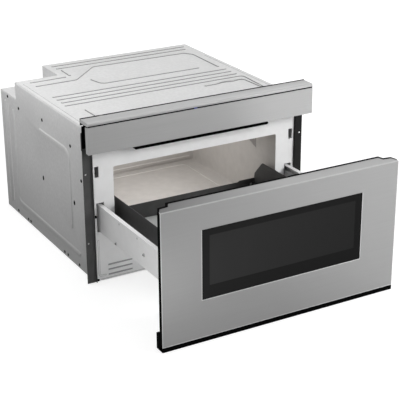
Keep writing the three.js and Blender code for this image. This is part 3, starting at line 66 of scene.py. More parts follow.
def make_camera():
    right = CAMERA_FORWARD.cross(Vector((0, 0, 1))).normalized()
    up = right.cross(CAMERA_FORWARD)
    rolled_right = right * math.cos(CAMERA_ROLL) + up * math.sin(CAMERA_ROLL)
    rolled_up = up * math.cos(CAMERA_ROLL) - right * math.sin(CAMERA_ROLL)
    turn = Matrix((rolled_right, rolled_up, -CAMERA_FORWARD)).transposed().to_4x4()
    data = bpy.data.cameras.new("camera")
    data.lens = CAMERA_LENS
    data.sensor_width = SENSOR
    data.clip_end = 50
    camera = bpy.data.objects.new("camera", data)
    camera.matrix_world = Matrix.Translation(CAMERA_AT) @ turn
    bpy.context.scene.collection.objects.link(camera)
    bpy.context.scene.camera = camera


# ---------------------------------------------------------------- materials


def grey(value):
    return (value, value, value)


def spread(colour, share):
    low = tuple(max(0.0, c * (1 - share)) for c in colour)
    high = tuple(min(1.0, c * (1 + share)) for c in colour)
    return low, high


class NodeTree:
    """Short calls that build up a node tree."""

    def __init__(self, tree, surface, place):
        self.tree = tree
        self.surface = tree.nodes[surface]
        self.place = tree.nodes.new("ShaderNodeTexCoord").outputs[place]

    def add(self, kind, **inputs):
        node = self.tree.nodes.new("ShaderNode" + kind)
        for name, value in inputs.items():
            self.feed(node.inputs[name.replace("_", " ")], value)
        return node

    def feed(self, socket, value):
        if isinstance(value, bpy.types.NodeSocket):
            self.tree.links.new(value, socket)
        else:
            socket.default_value = value

    def set(self, **values):
        for name, value in values.items():
            self.feed(self.surface.inputs[name.replace("_", " ")], value)

    def scaled(self, scale):
        mapping = self.add("Mapping", Vector=self.place)
        mapping.inputs["Scale"].default_value = scale
        return mapping.outputs["Vector"]

    def noise(self, scale, detail=3.0, roughness=0.55, place=None):
        place = place or self.place
        node = self.add("TexNoise", Vector=place, Scale=scale, Detail=detail, Roughness=roughness)
        return node.outputs["Fac"]

    def ramp(self, factor, low, high, start=0.0, end=1.0):
        node = self.add("ValToRGB", Fac=factor)
        node.color_ramp.elements[0].color = (*low, 1)
        node.color_ramp.elements[0].position = start
        node.color_ramp.elements[1].color = (*high, 1)
        node.color_ramp.elements[1].position = end
        return node.outputs["Color"]

    def span(self, factor, low, high, start=0.0, end=1.0):
        node = self.add("MapRange", Value=factor)
        for name, value in (("From Min", start), ("From Max", end), ("To Min", low), ("To Max", high)):
            node.inputs[name].default_value = value
        return node.outputs["Result"]

    def math(self, operation, *values):
        node = self.add("Math")
        node.operation = operation
        for socket, value in zip(node.inputs, values):
            self.feed(socket, value)
        return node.outputs["Value"]

    def mixed(self, factor, first, second):
        """Colour between first and second, each a colour socket or three numbers."""
        node = self.add("Mix")
        node.data_type = "RGBA"
        self.feed(node.inputs[0], factor)
        for socket, value in ((node.inputs[6], first), (node.inputs[7], second)):
            self.feed(socket, (*value, 1) if isinstance(value, tuple) else value)
        return node.outputs[2]

    def axis(self, vector, name):
        return self.add("SeparateXYZ", Vector=vector).outputs[name]

    def bump(self, height, strength, distance):
        node = self.add("Bump", Height=height, Strength=strength, Distance=distance)
        self.set(Normal=node.outputs["Normal"])


class Shader(NodeTree):
    """A node-based material over the object's own coordinates."""

    def __init__(self, name):
        self.material = bpy.data.materials.new(name)
        self.material.use_nodes = True
        super().__init__(self.material.node_tree, "Principled BSDF", "Object")


def coated_steel():
    """Zinc-coated sheet: faint spangle and matt, with painted shade: darker low down and on the flanks of
    the top's ribs.
    """
    shader = Shader("coated_steel")
    cells = shader.add("TexVoronoi", Vector=shader.place, Scale=130.0)
    cloud = shader.noise(9.0)
    low, high = spread(grey(0.665), 0.05)
    spangle = shader.ramp(shader.math("MULTIPLY", cells.outputs["Distance"], cloud), low, high, 0.05, 0.5)
    # Painted shade on the flanks of the top's ribs: sloped faces above the top panel go to grey(0.25).
    facing = shader.axis(shader.add("NewGeometry").outputs["True Normal"], "Z")
    sloped = shader.math("LESS_THAN", facing, 0.95)
    # Painted shade: darker towards grey(0.36) low down, fading out 200 mm up.
    painted_low_shade = shader.span(shader.axis(shader.place, "Z"), 0.45, 0.0, 0.03, 0.20)
    spangle = shader.mixed(painted_low_shade, spangle, grey(0.36))
    raised = shader.math("GREATER_THAN", shader.axis(shader.place, "Z"), TOP_PANEL + 0.1 * MM)
    shader.set(
        Base_Color=shader.mixed(shader.math("MULTIPLY", sloped, raised), spangle, grey(0.25)),
        Roughness=shader.span(cloud, 0.50, 0.62),
        Metallic=0.1,
        Specular_IOR_Level=0.3,
    )
    shader.bump(shader.noise(700.0), 0.06, 0.0003)
    return shader.material


def brushed_steel(name, tone, metallic=0.6):
    """Stainless front: hair lines along X."""
    shader = Shader(name)
    lines = shader.noise(1.0, 4.0, 0.7, shader.scaled((5.0, 1500.0, 1500.0)))
    low, high = spread(grey(tone), 0.05)
    shader.set(
        Base_Color=shader.ramp(lines, low, high, 0.3, 0.7),
        Roughness=shader.span(lines, 0.34, 0.44, 0.3, 0.7),
        Metallic=metallic,
        Anisotropic=0.6,
        Anisotropic_Rotation=0.25,
    )
    shader.bump(lines, 0.05, 0.0002)
    return shader.material


SKIN_SHEET = 1.2 * MM
# The painted highlight round the window reaches past the window's sides and low edge, and ends a little
# below its top.
WINDOW_HIGHLIGHT_SIDE = 1.7 * MM
WINDOW_HIGHLIGHT_LOW = 1.85 * MM
WINDOW_HIGHLIGHT_SHORT = 0.15 * MM
# Widths of the painted highlights along the door's sides and low edge, and the place and width of a fainter
# one along the bend below the top.
SIDE_HIGHLIGHT_WIDTH = 1.3 * MM
LOW_HIGHLIGHT_WIDTH = 1.4 * MM
BEND_BELOW_TOP = 4.6 * MM
BEND_HIGHLIGHT_WIDTH = 0.8 * MM


def door_steel():
    """The drawer's stainless front, a lighter copy of the stainless steel: painted highlights along its
    edges and round the window, and painted shade on the finger strip, darker towards the left.
    """
    material = brushed_steel("door_steel", 0.34)
    shader = NodeTree(material.node_tree, "Principled BSDF", "Object")
    brushed = shader.surface.inputs["Base Color"].links[0].from_socket
    skin_low, skin_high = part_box("door_skin")
    glass_low, glass_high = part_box("window_glass")
    across = shader.axis(shader.place, "X")
    height = shader.axis(shader.place, "Z")
    outwards = shader.math("ABSOLUTE", across)
    behind = shader.math("GREATER_THAN", shader.axis(shader.place, "Y"), skin_low.y + SKIN_SHEET)
    # Painted shade: the finger strip darkens from grey(0.42) to grey(0.08) towards the left.
    strip = shader.ramp(shader.span(across, 0.0, 1.0, -0.30, 0.0), grey(0.08), grey(0.42))
    face = shader.mixed(shader.math("MULTIPLY", behind, 0.7), brushed, strip)
    # Painted highlights in grey(0.66): a band round the window, bands along the sides and the low edge, and
    # a fainter band along the bend.
    highlight_bottom = glass_low.z - WINDOW_HIGHLIGHT_LOW
    highlight_top = glass_high.z - WINDOW_HIGHLIGHT_SHORT
    beside = shader.math("LESS_THAN", outwards, glass_high.x + WINDOW_HIGHLIGHT_SIDE)
    between = shader.math("COMPARE", height, (highlight_bottom + highlight_top) / 2, (highlight_top - highlight_bottom) / 2)
    window_highlight_mask = shader.math("MULTIPLY", beside, between)
    side_highlight_mask = shader.math("COMPARE", outwards, skin_high.x, SIDE_HIGHLIGHT_WIDTH)
    low_highlight_mask = shader.math("COMPARE", height, skin_low.z, LOW_HIGHLIGHT_WIDTH)
    bend_highlight_mask = shader.math("COMPARE", height, skin_high.z - BEND_BELOW_TOP, BEND_HIGHLIGHT_WIDTH)
    rim = shader.math("MAXIMUM", window_highlight_mask, side_highlight_mask)
    rim = shader.math("MAXIMUM", rim, shader.math("MAXIMUM", low_highlight_mask, shader.math("MULTIPLY", bend_highlight_mask, 0.35)))
    shader.set(Base_Color=shader.mixed(rim, face, grey(0.66)))
    return material


def enamel(name, colour, roughness, speckle=0.02, shine=0.5, pressed=None):
    """Sprayed enamel; pressed is a painted shade given to the flanks of beads pressed into a face that looks
    along Y.
    """
    shader = Shader(name)
    low, high = spread(colour, speckle)
    tone = shader.ramp(shader.noise(45.0), low, high, 0.3, 0.7)
    if pressed:
        # Painted shade on the flanks of pressed beads.
        facing = shader.axis(shader.add("NewGeometry").outputs["True Normal"], "Y")
        flank = shader.math("COMPARE", facing, -0.84, 0.11)
        tone = shader.mixed(flank, tone, grey(pressed))
    shader.set(
        Base_Color=tone,
        Roughness=shader.span(shader.noise(12.0), roughness - 0.04, roughness + 0.04),
        Specular_IOR_Level=shine,
    )
    shader.bump(shader.noise(420.0, 2.0), 0.05, 0.0002)
    return shader.material


def moulded_plastic(name, colour, roughness, shine=0.5):
    shader = Shader(name)
    low, high = spread(colour, 0.12)
    shader.set(
        Base_Color=shader.ramp(shader.noise(30.0), low, high, 0.3, 0.7),
        Roughness=shader.span(shader.noise(60.0), roughness - 0.05, roughness + 0.05),
        Specular_IOR_Level=shine,
    )
    shader.bump(shader.noise(2600.0, 2.0), 0.25, 0.0001)
    return shader.material


def plated_steel():
    shader = Shader("plated_steel")
    lines = shader.noise(1.0, 3.0, 0.6, shader.scaled((700.0, 12.0, 700.0)))
    low, high = spread(grey(0.62), 0.08)
    shader.set(
        Base_Color=shader.ramp(lines, low, high, 0.3, 0.7),
        Roughness=shader.span(lines, 0.26, 0.40, 0.3, 0.7),
        Metallic=0.75,
    )
    return shader.material


def window_glass_material():
    """Dark glass: black border and a tinted view of the screen's holes, both with painted shade, darker to
    the right.
    """
    shader = Shader("black_glass")
    low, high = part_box("window_screen")
    inset = 7 * MM
    middle = (low + high) / 2
    half = (high - low) / 2
    view_x = shader.math("COMPARE", shader.axis(shader.place, "X"), middle.x, half.x - inset)
    view_z = shader.math("COMPARE", shader.axis(shader.place, "Z"), middle.z, half.z - inset)
    dots = shader.add("TexVoronoi", Vector=shader.place, Scale=420.0, Randomness=0.0)
    holes = shader.ramp(dots.outputs["Distance"], grey(0.024), grey(0.034), 0.2, 0.6)
    view = shader.math("MULTIPLY", view_x, view_z)
    tint = shader.mixed(view, grey(0.015), holes)
    # Painted shade: the glass darkens towards grey(0.002) to the right.
    painted_shade_rightwards = shader.span(shader.axis(shader.place, "X"), 0.0, 0.5, -0.10, 0.22)
    shader.set(
        Base_Color=shader.mixed(painted_shade_rightwards, tint, grey(0.002)),
        Roughness=0.06,
        Specular_IOR_Level=0.04,
    )
    return shader.material


def clear_glass():
    shader = Shader("clear_glass")
    shader.set(
        Base_Color=(0.86, 0.92, 0.90, 1),
        Roughness=shader.span(shader.noise(8.0), 0.02, 0.06),
        Transmission_Weight=1.0,
        IOR=1.5,
    )
    return shader.material


def frosted_glass():
    """The tray: pressed glass with a fine-grained underside, so it looks pale over the dark basket."""
    shader = Shader("frosted_glass")
    low, high = spread((0.80, 0.82, 0.81), 0.03)
    shader.set(
        Base_Color=shader.ramp(shader.noise(35.0), low, high, 0.3, 0.7),
        Roughness=shader.span(shader.noise(240.0), 0.12, 0.22),
        Transmission_Weight=0.2,
        IOR=1.5,
    )
    shader.bump(shader.noise(900.0, 2.0), 0.08, 0.0002)
    return shader.material


def dark_screen():
    """Perforated sheet in matt black."""
    shader = Shader("dark_screen")
    dots = shader.add("TexVoronoi", Vector=shader.place, Scale=420.0, Randomness=0.0)
    shader.set(
        Base_Color=shader.ramp(dots.outputs["Distance"], grey(0.002), grey(0.03), 0.25, 0.4),
        Roughness=0.5,
    )
    return shader.material


def indicator_lens():
    """Small blue lens of the indicator light."""
    shader = Shader("indicator_lens")
    low, high = spread((0.10, 0.12, 0.42), 0.1)
    shader.set(Base_Color=shader.ramp(shader.noise(400.0), low, high, 0.3, 0.7), Roughness=0.15)
    return shader.material


def core_and_winding():
    shader = Shader("core_and_winding")
    layers = shader.add("TexWave", Vector=shader.scaled((900.0, 1.0, 1.0)), Scale=1.0)
    shader.set(
        Base_Color=shader.ramp(layers.outputs["Fac"], (0.16, 0.08, 0.04), (0.30, 0.15, 0.08)),
        Roughness=0.45,
        Metallic=0.6,
    )
    return shader.material


def circuit_board():
    shader = Shader("circuit_board")
    tracks = shader.add("TexBrick", Vector=shader.scaled((60.0, 60.0, 60.0)), Scale=1.0)
    shader.feed(tracks.inputs["Color1"], (0.02, 0.10, 0.04, 1))
    shader.feed(tracks.inputs["Color2"], (0.03, 0.14, 0.06, 1))
    shader.feed(tracks.inputs["Mortar"], (0.06, 0.20, 0.09, 1))
    shader.set(Base_Color=tracks.outputs["Color"], Roughness=0.5)
    return shader.material


materials = {
    "coated_steel": coated_steel(),
    "white_enamel": enamel("white_enamel", grey(0.88), 0.38),
    "cavity_enamel": enamel("cavity_enamel", (0.60, 0.575, 0.55), 0.40, 0.04),
    "stainless_steel": brushed_steel("stainless_steel", 0.31),
    "black_steel": enamel("black_steel", grey(0.062), 0.45, 0.1, 0.3),
    "black_plastic": moulded_plastic("black_plastic", grey(0.0025), 0.5, 0.006),
    "black_glass": window_glass_material(),
    "clear_glass": clear_glass(),
    "plated_steel": plated_steel(),
    "dark_screen": dark_screen(),
    "core_and_winding": core_and_winding(),
    "circuit_board": circuit_board(),
    "grey_plastic": moulded_plastic("grey_plastic", grey(0.33), 0.55),
    "mica": enamel("mica", (0.585, 0.56, 0.535), 0.5, 0.05),
}
# The cap and the fascia are lighter copies of the stainless steel, as painted light.
cap_steel_painted_light = brushed_steel("cap_steel_painted_light", 0.49, 0.5)
own_material = {
    "glass_tray": frosted_glass(),
    "door_skin": door_steel(),
    # The frame's bead flanks get grey(0.55) as painted shade.
    "front_frame": enamel("frame_enamel", grey(0.86), 0.38, pressed=0.55),
    "top_cap": cap_steel_painted_light,
    "fascia_panel": brushed_steel("fascia_steel_painted_light", 0.45, 0.27),
    # The two mounting flanges have the same black paint; the left one is lighter as painted light and the
    # right one darker as painted shade.
    "left_mounting_flange": enamel("flange_black", grey(0.08), 0.45, 0.1, 0.3),
    "right_mounting_flange": enamel("right_flange_painted_shade", grey(0.014), 0.45, 0.1, 0.1),
    "control_housing": enamel("housing_black", grey(0.008), 0.5, 0.1, 0.04),
    "lamp_window": enamel("lamp_cover", (0.34, 0.325, 0.31), 0.45, 0.05),
}
deep_black = moulded_plastic("deep_black", grey(0.003), 0.6, 0.01)
louvre_shade_grey = enamel("louvre_shade_grey", grey(0.36), 0.5)
# Lighter enamel for the painted highlights on the oven's beads.
highlight_enamel = enamel("highlight_enamel", (0.80, 0.78, 0.75), 0.18, 0.02)
# Light grey for the painted highlights on the side ribs' crests.
crest_highlight_steel = enamel("crest_highlight_steel", grey(0.84), 0.4)
# Bright white for the painted highlight along the brackets' pressed edges.
edge_highlight_white = enamel("edge_highlight_white", grey(0.92), 0.25, 0.02)

# ---------------------------------------------------------------- pieces from the frame


def link(piece):
    bpy.context.scene.collection.objects.link(piece)
    return piece


def finish_of(node):
    return own_material.get(node, materials[slot_of_node[node]])


EDGE_SEGMENTS = 2
EDGE_ANGLE = math.radians(28)


def edged(node, width, held):
    """The node's own shape with its sharp edges rounded, in the node's material."""
    mesh = nodes[node].data.copy()
    work = bmesh.new()
    work.from_mesh(mesh)
    bmesh.ops.remove_doubles(work, verts=work.verts, dist=1e-6)
    bmesh.ops.dissolve_limit(work, angle_limit=math.radians(0.5), verts=work.verts, edges=work.edges)
    work.to_mesh(mesh)
    work.free()
    mesh.materials.clear()
    mesh.materials.append(finish_of(node))
    for face in mesh.polygons:
        face.material_index = 0
    piece = link(bpy.data.objects.new(node + "_finished", mesh))
    bevel = piece.modifiers.new("edges", "BEVEL")
    bevel.width = width
    bevel.segments = EDGE_SEGMENTS
    bevel.limit_method = "ANGLE"
    bevel.angle_limit = EDGE_ANGLE
    bevel.use_clamp_overlap = held
    bevel.harden_normals = True
    mesh.shade_smooth()
    mesh.set_sharp_from_angle(angle=EDGE_ANGLE)
    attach(piece, body_of_node[node])
    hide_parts(node)


# Nodes that are seen, with the radius of their edges in millimetres.
EDGE_RADII = {
    "base_pan": 0.3,
    "left_side_panel": 0.3,
    "right_side_panel": 0.3,
    "rear_panel": 0.3,
    "top_cover": 0.3,
    "recess_cover": 0.3,
    "front_frame": 0.3,
    "left_mounting_flange": 0.4,
    "right_mounting_flange": 0.4,
    "cavity_shell": 0.25,
    "cavity_floor_plate": 0.5,
    "control_housing": 0.3,
    "sensor_strip": 0.8,
    "top_cap": 0.6,
    "fascia_panel": 0.4,
    "control_carrier": 0.3,
    "touch_glass": 0.5,
    "door_skin": 0.8,
    "window_glass": 0.5,
    "door_frame": 0.4,
    "door_choke": 0.5,
    "inner_window": 0.6,
    "base_trim": 0.5,
    "basket": 0.3,
    "glass_tray": 1.2,
    "left_rail_bracket": 0.3,
    "right_rail_bracket": 0.3,
    "left_latch_hook": 0.3,
    "right_latch_hook": 0.3,
}

# Their rounded corners are held back, because they would spread past the node's own box.
HELD_EDGES = {"fascia_panel", "control_carrier", "door_skin", "door_frame"}


def dress_nodes():
    for name, node in nodes.items():
        node.data.materials.clear()
        node.data.materials.append(finish_of(name))
    for name, radius in EDGE_RADII.items():
        edged(name, radius * MM, name in HELD_EDGES)


# ---------------------------------------------------------------- small fittings


def ring_of(work, points):
    return [work.verts.new(point) for point in points]


def full_turn(sides):
    return [2 * math.pi * i / sides for i in range(sides)]


def turned(profile, sides=24):
    """A solid of revolution about +Z; profile runs from the axis at the bottom to the axis at the top."""
    work = bmesh.new()
    rings = []
    for radius, height in profile:
        turns = full_turn(sides) if radius else [0]
        rings.append(ring_of(work, [(radius * math.cos(a), radius * math.sin(a), height) for a in turns]))
    for lower, upper in zip(rings, rings[1:]):
        for i in range(sides):
            j = (i + 1) % sides
            corners = [ring[k % len(ring)] for ring, k in ((lower, i), (lower, j), (upper, j), (upper, i))]
            work.faces.new([v for k, v in enumerate(corners) if v not in corners[:k]])
    return work


def walled(work, rings):
    """Closes the space between rings of equal length, and both ends."""
    for one, other in zip(rings, rings[1:]):
        for i in range(len(one)):
            j = (i + 1) % len(one)
            work.faces.new([one[i], one[j], other[j], other[i]])
    work.faces.new(rings[0])
    work.faces.new(rings[-1])
    return work


def tube(path, radius, sides=10):
    """A round bead along a path of points."""
    work = bmesh.new()
    points = [Vector(p) for p in path]
    rings = []
    for i, point in enumerate(points):
        along = (points[min(i + 1, len(points) - 1)] - points[max(i - 1, 0)]).normalized()
        side = along.cross(Vector((0, 0, 1)))
        side = side.normalized() if side.length > 0.1 else Vector((1, 0, 0))
        across = side.cross(along)
        spokes = [side * math.cos(a) + across * math.sin(a) for a in full_turn(sides)]
        rings.append(ring_of(work, [point + spoke * radius for spoke in spokes]))
    return walled(work, rings)


def arc_path(points, radius, steps=5):
    """The points with each inner corner rounded."""
    points = [Vector(p) for p in points]
    path = [points[0]]
    for before, here, after in zip(points, points[1:], points[2:]):
        back = (before - here).normalized()
        on = (after - here).normalized()
        for i in range(steps + 1):
            t = i / steps
            path.append(here + back * radius * (1 - t) ** 2 + on * radius * t**2)
    return path + [points[-1]]


def gathered(name, works, body, slot, material=None):
    """One piece out of several small meshes."""
    whole = bmesh.new()
    for work in works:
        bmesh.ops.recalc_face_normals(work, faces=work.faces)
        part = bpy.data.meshes.new("part")
        work.to_mesh(part)
        work.free()
        whole.from_mesh(part)
        bpy.data.meshes.remove(part)
    mesh = bpy.data.meshes.new(name)
    whole.to_mesh(mesh)
    whole.free()
    mesh.materials.append(material or materials[slot])
    mesh.shade_smooth()
    mesh.set_sharp_from_angle(angle=math.radians(35))
    piece = link(bpy.data.objects.new(name, mesh))
    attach(piece, body)


def placed(work, place, towards):
    """Turns a piece made about +Z so that +Z points towards a direction, and moves it; in millimetres."""
    turn = Vector(towards).to_track_quat("Z", "Y").to_matrix().to_4x4()
    move = Matrix.Translation(Vector(place) * MM)
    bmesh.ops.transform(work, matrix=move @ turn @ Matrix.Scale(MM, 4), verts=work.verts)
    return work


# Profiles of turned pieces, as (radius, height) in millimetres from the bottom up.
DOME = [(0, -0.4), (3.6, -0.4), (3.6, 0.5), (3.1, 1.3), (1.9, 1.9), (0, 2.1)]
PAN_HEAD = [(0, -0.5), (3.6, -0.5), (3.6, 0.5), (3.2, 1.3), (2.2, 1.8), (1.3, 1.9), (0.9, 0.9), (0, 0.7)]
# Black centre of a large rivet, as painted shade.
RIVET_SHADE = [(0, 0), (2.2, 0), (2.2, 2.2), (1.7, 2.5), (0, 2.5)]
BUMPER = [(0, -0.8), (3.4, -0.8), (3.4, 2.4), (2.9, 3.4), (1.8, 3.9), (0, 4.0)]
SIDES = ((-1, "left"), (1, "right"))


def button(radius):
    """Profile of a plug that closes a hole, with a low rim and a dished middle."""
    rim = [(radius, -0.6), (radius, 0.3), (radius - 0.5, 0.7), (radius - 1.1, 0.7), (radius - 1.5, 0.3)]
    return [(0, -0.6), *rim, (0, 0.2)]


def millimetres(path):
    return [Vector(point) * MM for point in path]


def bead(path, radius):
    """A tube whose path and radius are in millimetres."""
    return tube(millimetres(path), radius * MM)


def slab(x0, x1, z0, z1, y_front, y_back, round_by):
    """A flat piece with rounded corners that faces -Y, in millimetres."""
    work = bmesh.new()
    corners = [(x1 - round_by, z0 + round_by, -90), (x1 - round_by, z1 - round_by, 0),
               (x0 + round_by, z1 - round_by, 90), (x0 + round_by, z0 + round_by, 180)]
    outline = []
    for x, z, start in corners:
        for step in range(4):
            turn = math.radians(start + 30 * step)
            outline.append((x + round_by * math.cos(turn), z + round_by * math.sin(turn)))
    faces = [[(x, y, z) for x, z in outline] for y in (y_front, y_back)]
    return walled(work, [ring_of(work, millimetres(face)) for face in faces])


def paired_slabs(inner, outer, *sizes):
    """The same slab at the left and at the right, between two distances from the middle."""
    return [slab(*sorted((side * inner, side * outer)), *sizes) for side, name in SIDES]


# Places below are in millimetres in the part's frame.
BODY_SIDE = 281.4
BODY_FRONT = -283.0

SIDE_HOLES = [(233, 324.4), (157.5, 311.5), (-1, 325.5), (-171, 310), (-227, 240)]
SIDE_HOLE_RADIUS = 4.3
SIDE_OVALS = [(11.6, 168), (-180, 168)]
OVAL_RADIUS = 4.2
OVAL_STRETCH = 1.5
SKIRT_HOLES = [206, 135.5, 119, -104, -125, -193.4]
SKIRT_HOLE_RADIUS = 3.9
SKIRT_HEIGHT = 9


def side_hole_shades():
    """Black plugs close the round and oval holes of the side panels and their skirts; their deep black is
    painted shade inside the holes.
    """
    holes = [(y, z, SIDE_HOLE_RADIUS, 24) for y, z in SIDE_HOLES]
    holes += [(y, SKIRT_HEIGHT, SKIRT_HOLE_RADIUS, 14) for y in SKIRT_HOLES]
    for side, name in SIDES:
        works = [placed(turned(button(radius), sides), (side * BODY_SIDE, y, z), (side, 0, 0))
                 for y, z, radius, sides in holes]
        for y, z in SIDE_OVALS:
            work = placed(turned(button(OVAL_RADIUS)), (side * BODY_SIDE, y, z), (side, 0, 0))
            centre = Matrix.Translation(Vector((0, 0, z)) * MM)
            stretch = centre @ Matrix.Diagonal((1, 1, OVAL_STRETCH, 1)) @ centre.inverted()
            bmesh.ops.transform(work, matrix=stretch, verts=work.verts)
            works.append(work)
        gathered(name + "_side_hole_shades", works, "chassis", "black_plastic", deep_black)


# Upright ribs of a side panel, as (distance of the bead from the middle, y, lower z, upper z).
SIDE_RIBS = [
    (282.7, -159.9, 104, 283),
    (281.3, 258.0, 30, 308),
    (281.3, 232.0, 30, 304),
    (282.4, 194.5, 46, 262),
]


def rib_crest_highlights():
    """Painted highlights: bright beads along the crests of the upright ribs in the side panels."""
    for side, name in SIDES:
        works = [bead([(side * x, y, z) for z in (low, (low + high) / 2, high)], 0.8)
                 for x, y, low, high in SIDE_RIBS]
        gathered(name + "_rib_crest_highlights", works, "chassis", "coated_steel", crest_highlight_steel)


BRACKET_SIDE = 265
# As (y, z, size against the dome's profile).
SMALL_RIVETS = [(-482, 187.5, 0.7), (-392, 187.5, 0.7)]
LARGE_RIVETS = [(-513, 160, 1.25), (-372.5, 132, 1.2)]
BRACKET_EDGE = [(-400, 195), (-566, 195), (-573, 137)]


def bracket_details():
    """Rivets and the pressed edge of the white brackets beside the basket; the rivets' black centres are
    painted shade, and the edge bead's brighter white is a painted highlight.
    """
    for side, name in SIDES:
        face = side * BRACKET_SIDE
        rivets = [placed(turned([(radius * size, height * size) for radius, height in DOME]),
                         (face, y, z), (side, 0, 0)) for y, z, size in SMALL_RIVETS + LARGE_RIVETS]
        gathered(name + "_bracket_rivets", rivets, "drawer", "plated_steel")
        rivet_shades = [placed(turned(RIVET_SHADE, 12), (face + side * 0.4, y, z), (side, 0, 0))
                 for y, z, size in LARGE_RIVETS]
        gathered(name + "_bracket_rivet_shade", rivet_shades, "drawer", "black_plastic", deep_black)
        edge = bead(arc_path([(face - side * 0.5, y, z) for y, z in BRACKET_EDGE], 8), 0.95)
        gathered(name + "_bracket_edge", [edge], "drawer", "white_enamel", edge_highlight_white)


# Rear edge of the finger strip at the right end, from the front corner inwards, as (x, y).
STRIP_BACK = -636
STRIP_EDGE = [(302.6, -661), (294.6, -649.2), (274.2, -647.2), (268.4, STRIP_BACK)]
STRIP_SLOPE = 0.137
GASKET_WIDTH = 6.0
GASKET_BACK = [(302.6, -654.6), (297.0, -643.4), (277.6, -641.4), (272.0, STRIP_BACK + GASKET_WIDTH)]
GASKET_TOP = 326.4
GASKET_DEPTH = 2.2


def both_ends(path):
    """A path at the right end, carried on by its mirror image at the left end."""
    return path + [(-x, y) for x, y in reversed(path)]


def strip_gasket():
    """Black rubber along the rear edge of the door's finger strip, sloped as the strip is."""
    work = bmesh.new()
    rings = []
    for (x0, y0), (x1, y1) in zip(both_ends(STRIP_EDGE), both_ends(GASKET_BACK)):
        top = GASKET_TOP + STRIP_SLOPE * (y0 - STRIP_BACK)
        low = top - GASKET_DEPTH
        section = [(x0, y0, low), (x1, y1, low), (x1, y1, top - 0.5), (x1, y1 - 0.6, top),
                   (x0, y0 + 0.4, top), (x0, y0, top - 0.3)]
        rings.append(ring_of(work, millimetres(section)))
    return walled(work, rings)


LOUVRE_ROWS = 3
LOUVRE_PITCH = 12.9
LOUVRE_LOW = 10.5
LOUVRE_ENDS = (-246, -180.5)
LIP_PATH = (-244.5, -213, -183)


def louvres():
    """Rolled lips and slanted blades of the slots at the frame's lower left; the blades are a darker grey
    than the frame, as painted shade in the slots.
    """
    rows = [LOUVRE_LOW + row * LOUVRE_PITCH for row in range(LOUVRE_ROWS)]
    lips = [bead([(x, BODY_FRONT - 0.2, z - 1.0) for x in LIP_PATH], 1.2) for z in rows]
    gathered("louvre_lips", lips, "chassis", "white_enamel")
    blades = [slab(*LOUVRE_ENDS, z - 0.6, z + 3.6, BODY_FRONT + 0.4, BODY_FRONT + 1.4, 1.5) for z in rows]
    gathered("louvre_blades", blades, "chassis", "white_enamel", louvre_shade_grey)


CAVITY_REAR = 143.0
SEAL_HALF = 181
SEAL_HEIGHT = 85.2
SEAL_PATH = [(-SEAL_HALF, 60), (-SEAL_HALF, 112), (SEAL_HALF, 112), (SEAL_HALF, -120)]
RIDGE_HEIGHT = 96.2
RIDGE_PATH = (-212, -100, 0, 100, 211)


def oven_beads():
    """The bead round the oven's floor plate and the ridge along its rear wall, in a lighter, glossier enamel
    whose lighter tone is a painted highlight.
    """
    seal = arc_path([(x, y, SEAL_HEIGHT) for x, y in SEAL_PATH], 20, 8)
    gathered("cavity_seal", [bead(seal, 1.1)], "chassis", "cavity_enamel", highlight_enamel)
    ridge = [(x, CAVITY_REAR - 3.0, RIDGE_HEIGHT) for x in RIDGE_PATH]
    gathered("cavity_ridge", [bead(ridge, 1.3)], "chassis", "cavity_enamel", highlight_enamel)


SEAM_LOW = 402.7
SEAM_HIGH = 405.4
SEAM_HALF = 301.5
# The black covers at the unit's ends stand as painted shade; their places follow.
COVER_INNER = 278.4
COVER_OUTER = 302.3
COVER_LOW = 343
COVER_HIGH = 396.6
COVER_FRONT = BODY_FRONT - 6.4


def control_unit_trim():
    """The indicator; a black strip in the seam between cap and fascia as painted shadow; and black covers at
    the unit's ends as painted shade.
    """
    light = slab(-30, -22, SEAM_LOW + 0.2, SEAM_HIGH - 0.1, -323.5, -322.5, 0.9)
    gathered("ready_light", [light], "chassis", "black_glass", indicator_lens())
    # Painted shadow: a black strip filling the seam between cap and fascia.
    seam = slab(-SEAM_HALF, SEAM_HALF, SEAM_LOW, SEAM_HIGH, -323.15, -318, 0.6)
    gathered("seam_shadow_strip", [seam], "chassis", "black_plastic", deep_black)
    # Painted shade: black covers at the unit's ends beside the fascia.
    sizes = (COVER_INNER, COVER_OUTER, COVER_LOW, COVER_HIGH)
    covers = paired_slabs(*sizes, COVER_FRONT, COVER_FRONT + 1.0, 0.8)
    gathered("housing_side_shade_covers", covers, "chassis", "black_plastic", deep_black)


def body_lines():
    """Fold lines along the sides of the top, the line at the frame's foot and the tabs behind the cap."""
    folds = [bead([(side * 268.5, y, 377.1) for y in (-279, -140, 0, 150)], 1.0) for side, name in SIDES]
    gathered("top_fold_lines", folds, "chassis", "coated_steel")
    foot = [(x, BODY_FRONT - 0.4, 4.2) for x in (-266, 0, 266)]
    gathered("frame_foot", [bead(foot, 0.9)], "chassis", "coated_steel")
    tabs = [slab(x - 4, x + 4, 411.0, 413.9, BODY_FRONT - 2.6, BODY_FRONT - 0.6, 1.0) for x in (-251, 245.5)]
    gathered("cap_tabs", tabs, "chassis", "stainless_steel")


def frame_stops():
    """Rubber bumpers beside the rail slots and the small stops at the frame's lower corners."""
    bumpers = [placed(turned(BUMPER), (side * 274.2, BODY_FRONT, 167.6), (0, -1, 0)) for side, name in SIDES]
    gathered("frame_bumpers", bumpers, "chassis", "black_plastic")
    stops = paired_slabs(271, 277, 1.5, 6.5, BODY_FRONT - 2.4, BODY_FRONT + 0.4, 1.2)
    gathered("corner_stops", stops, "chassis", "black_plastic")


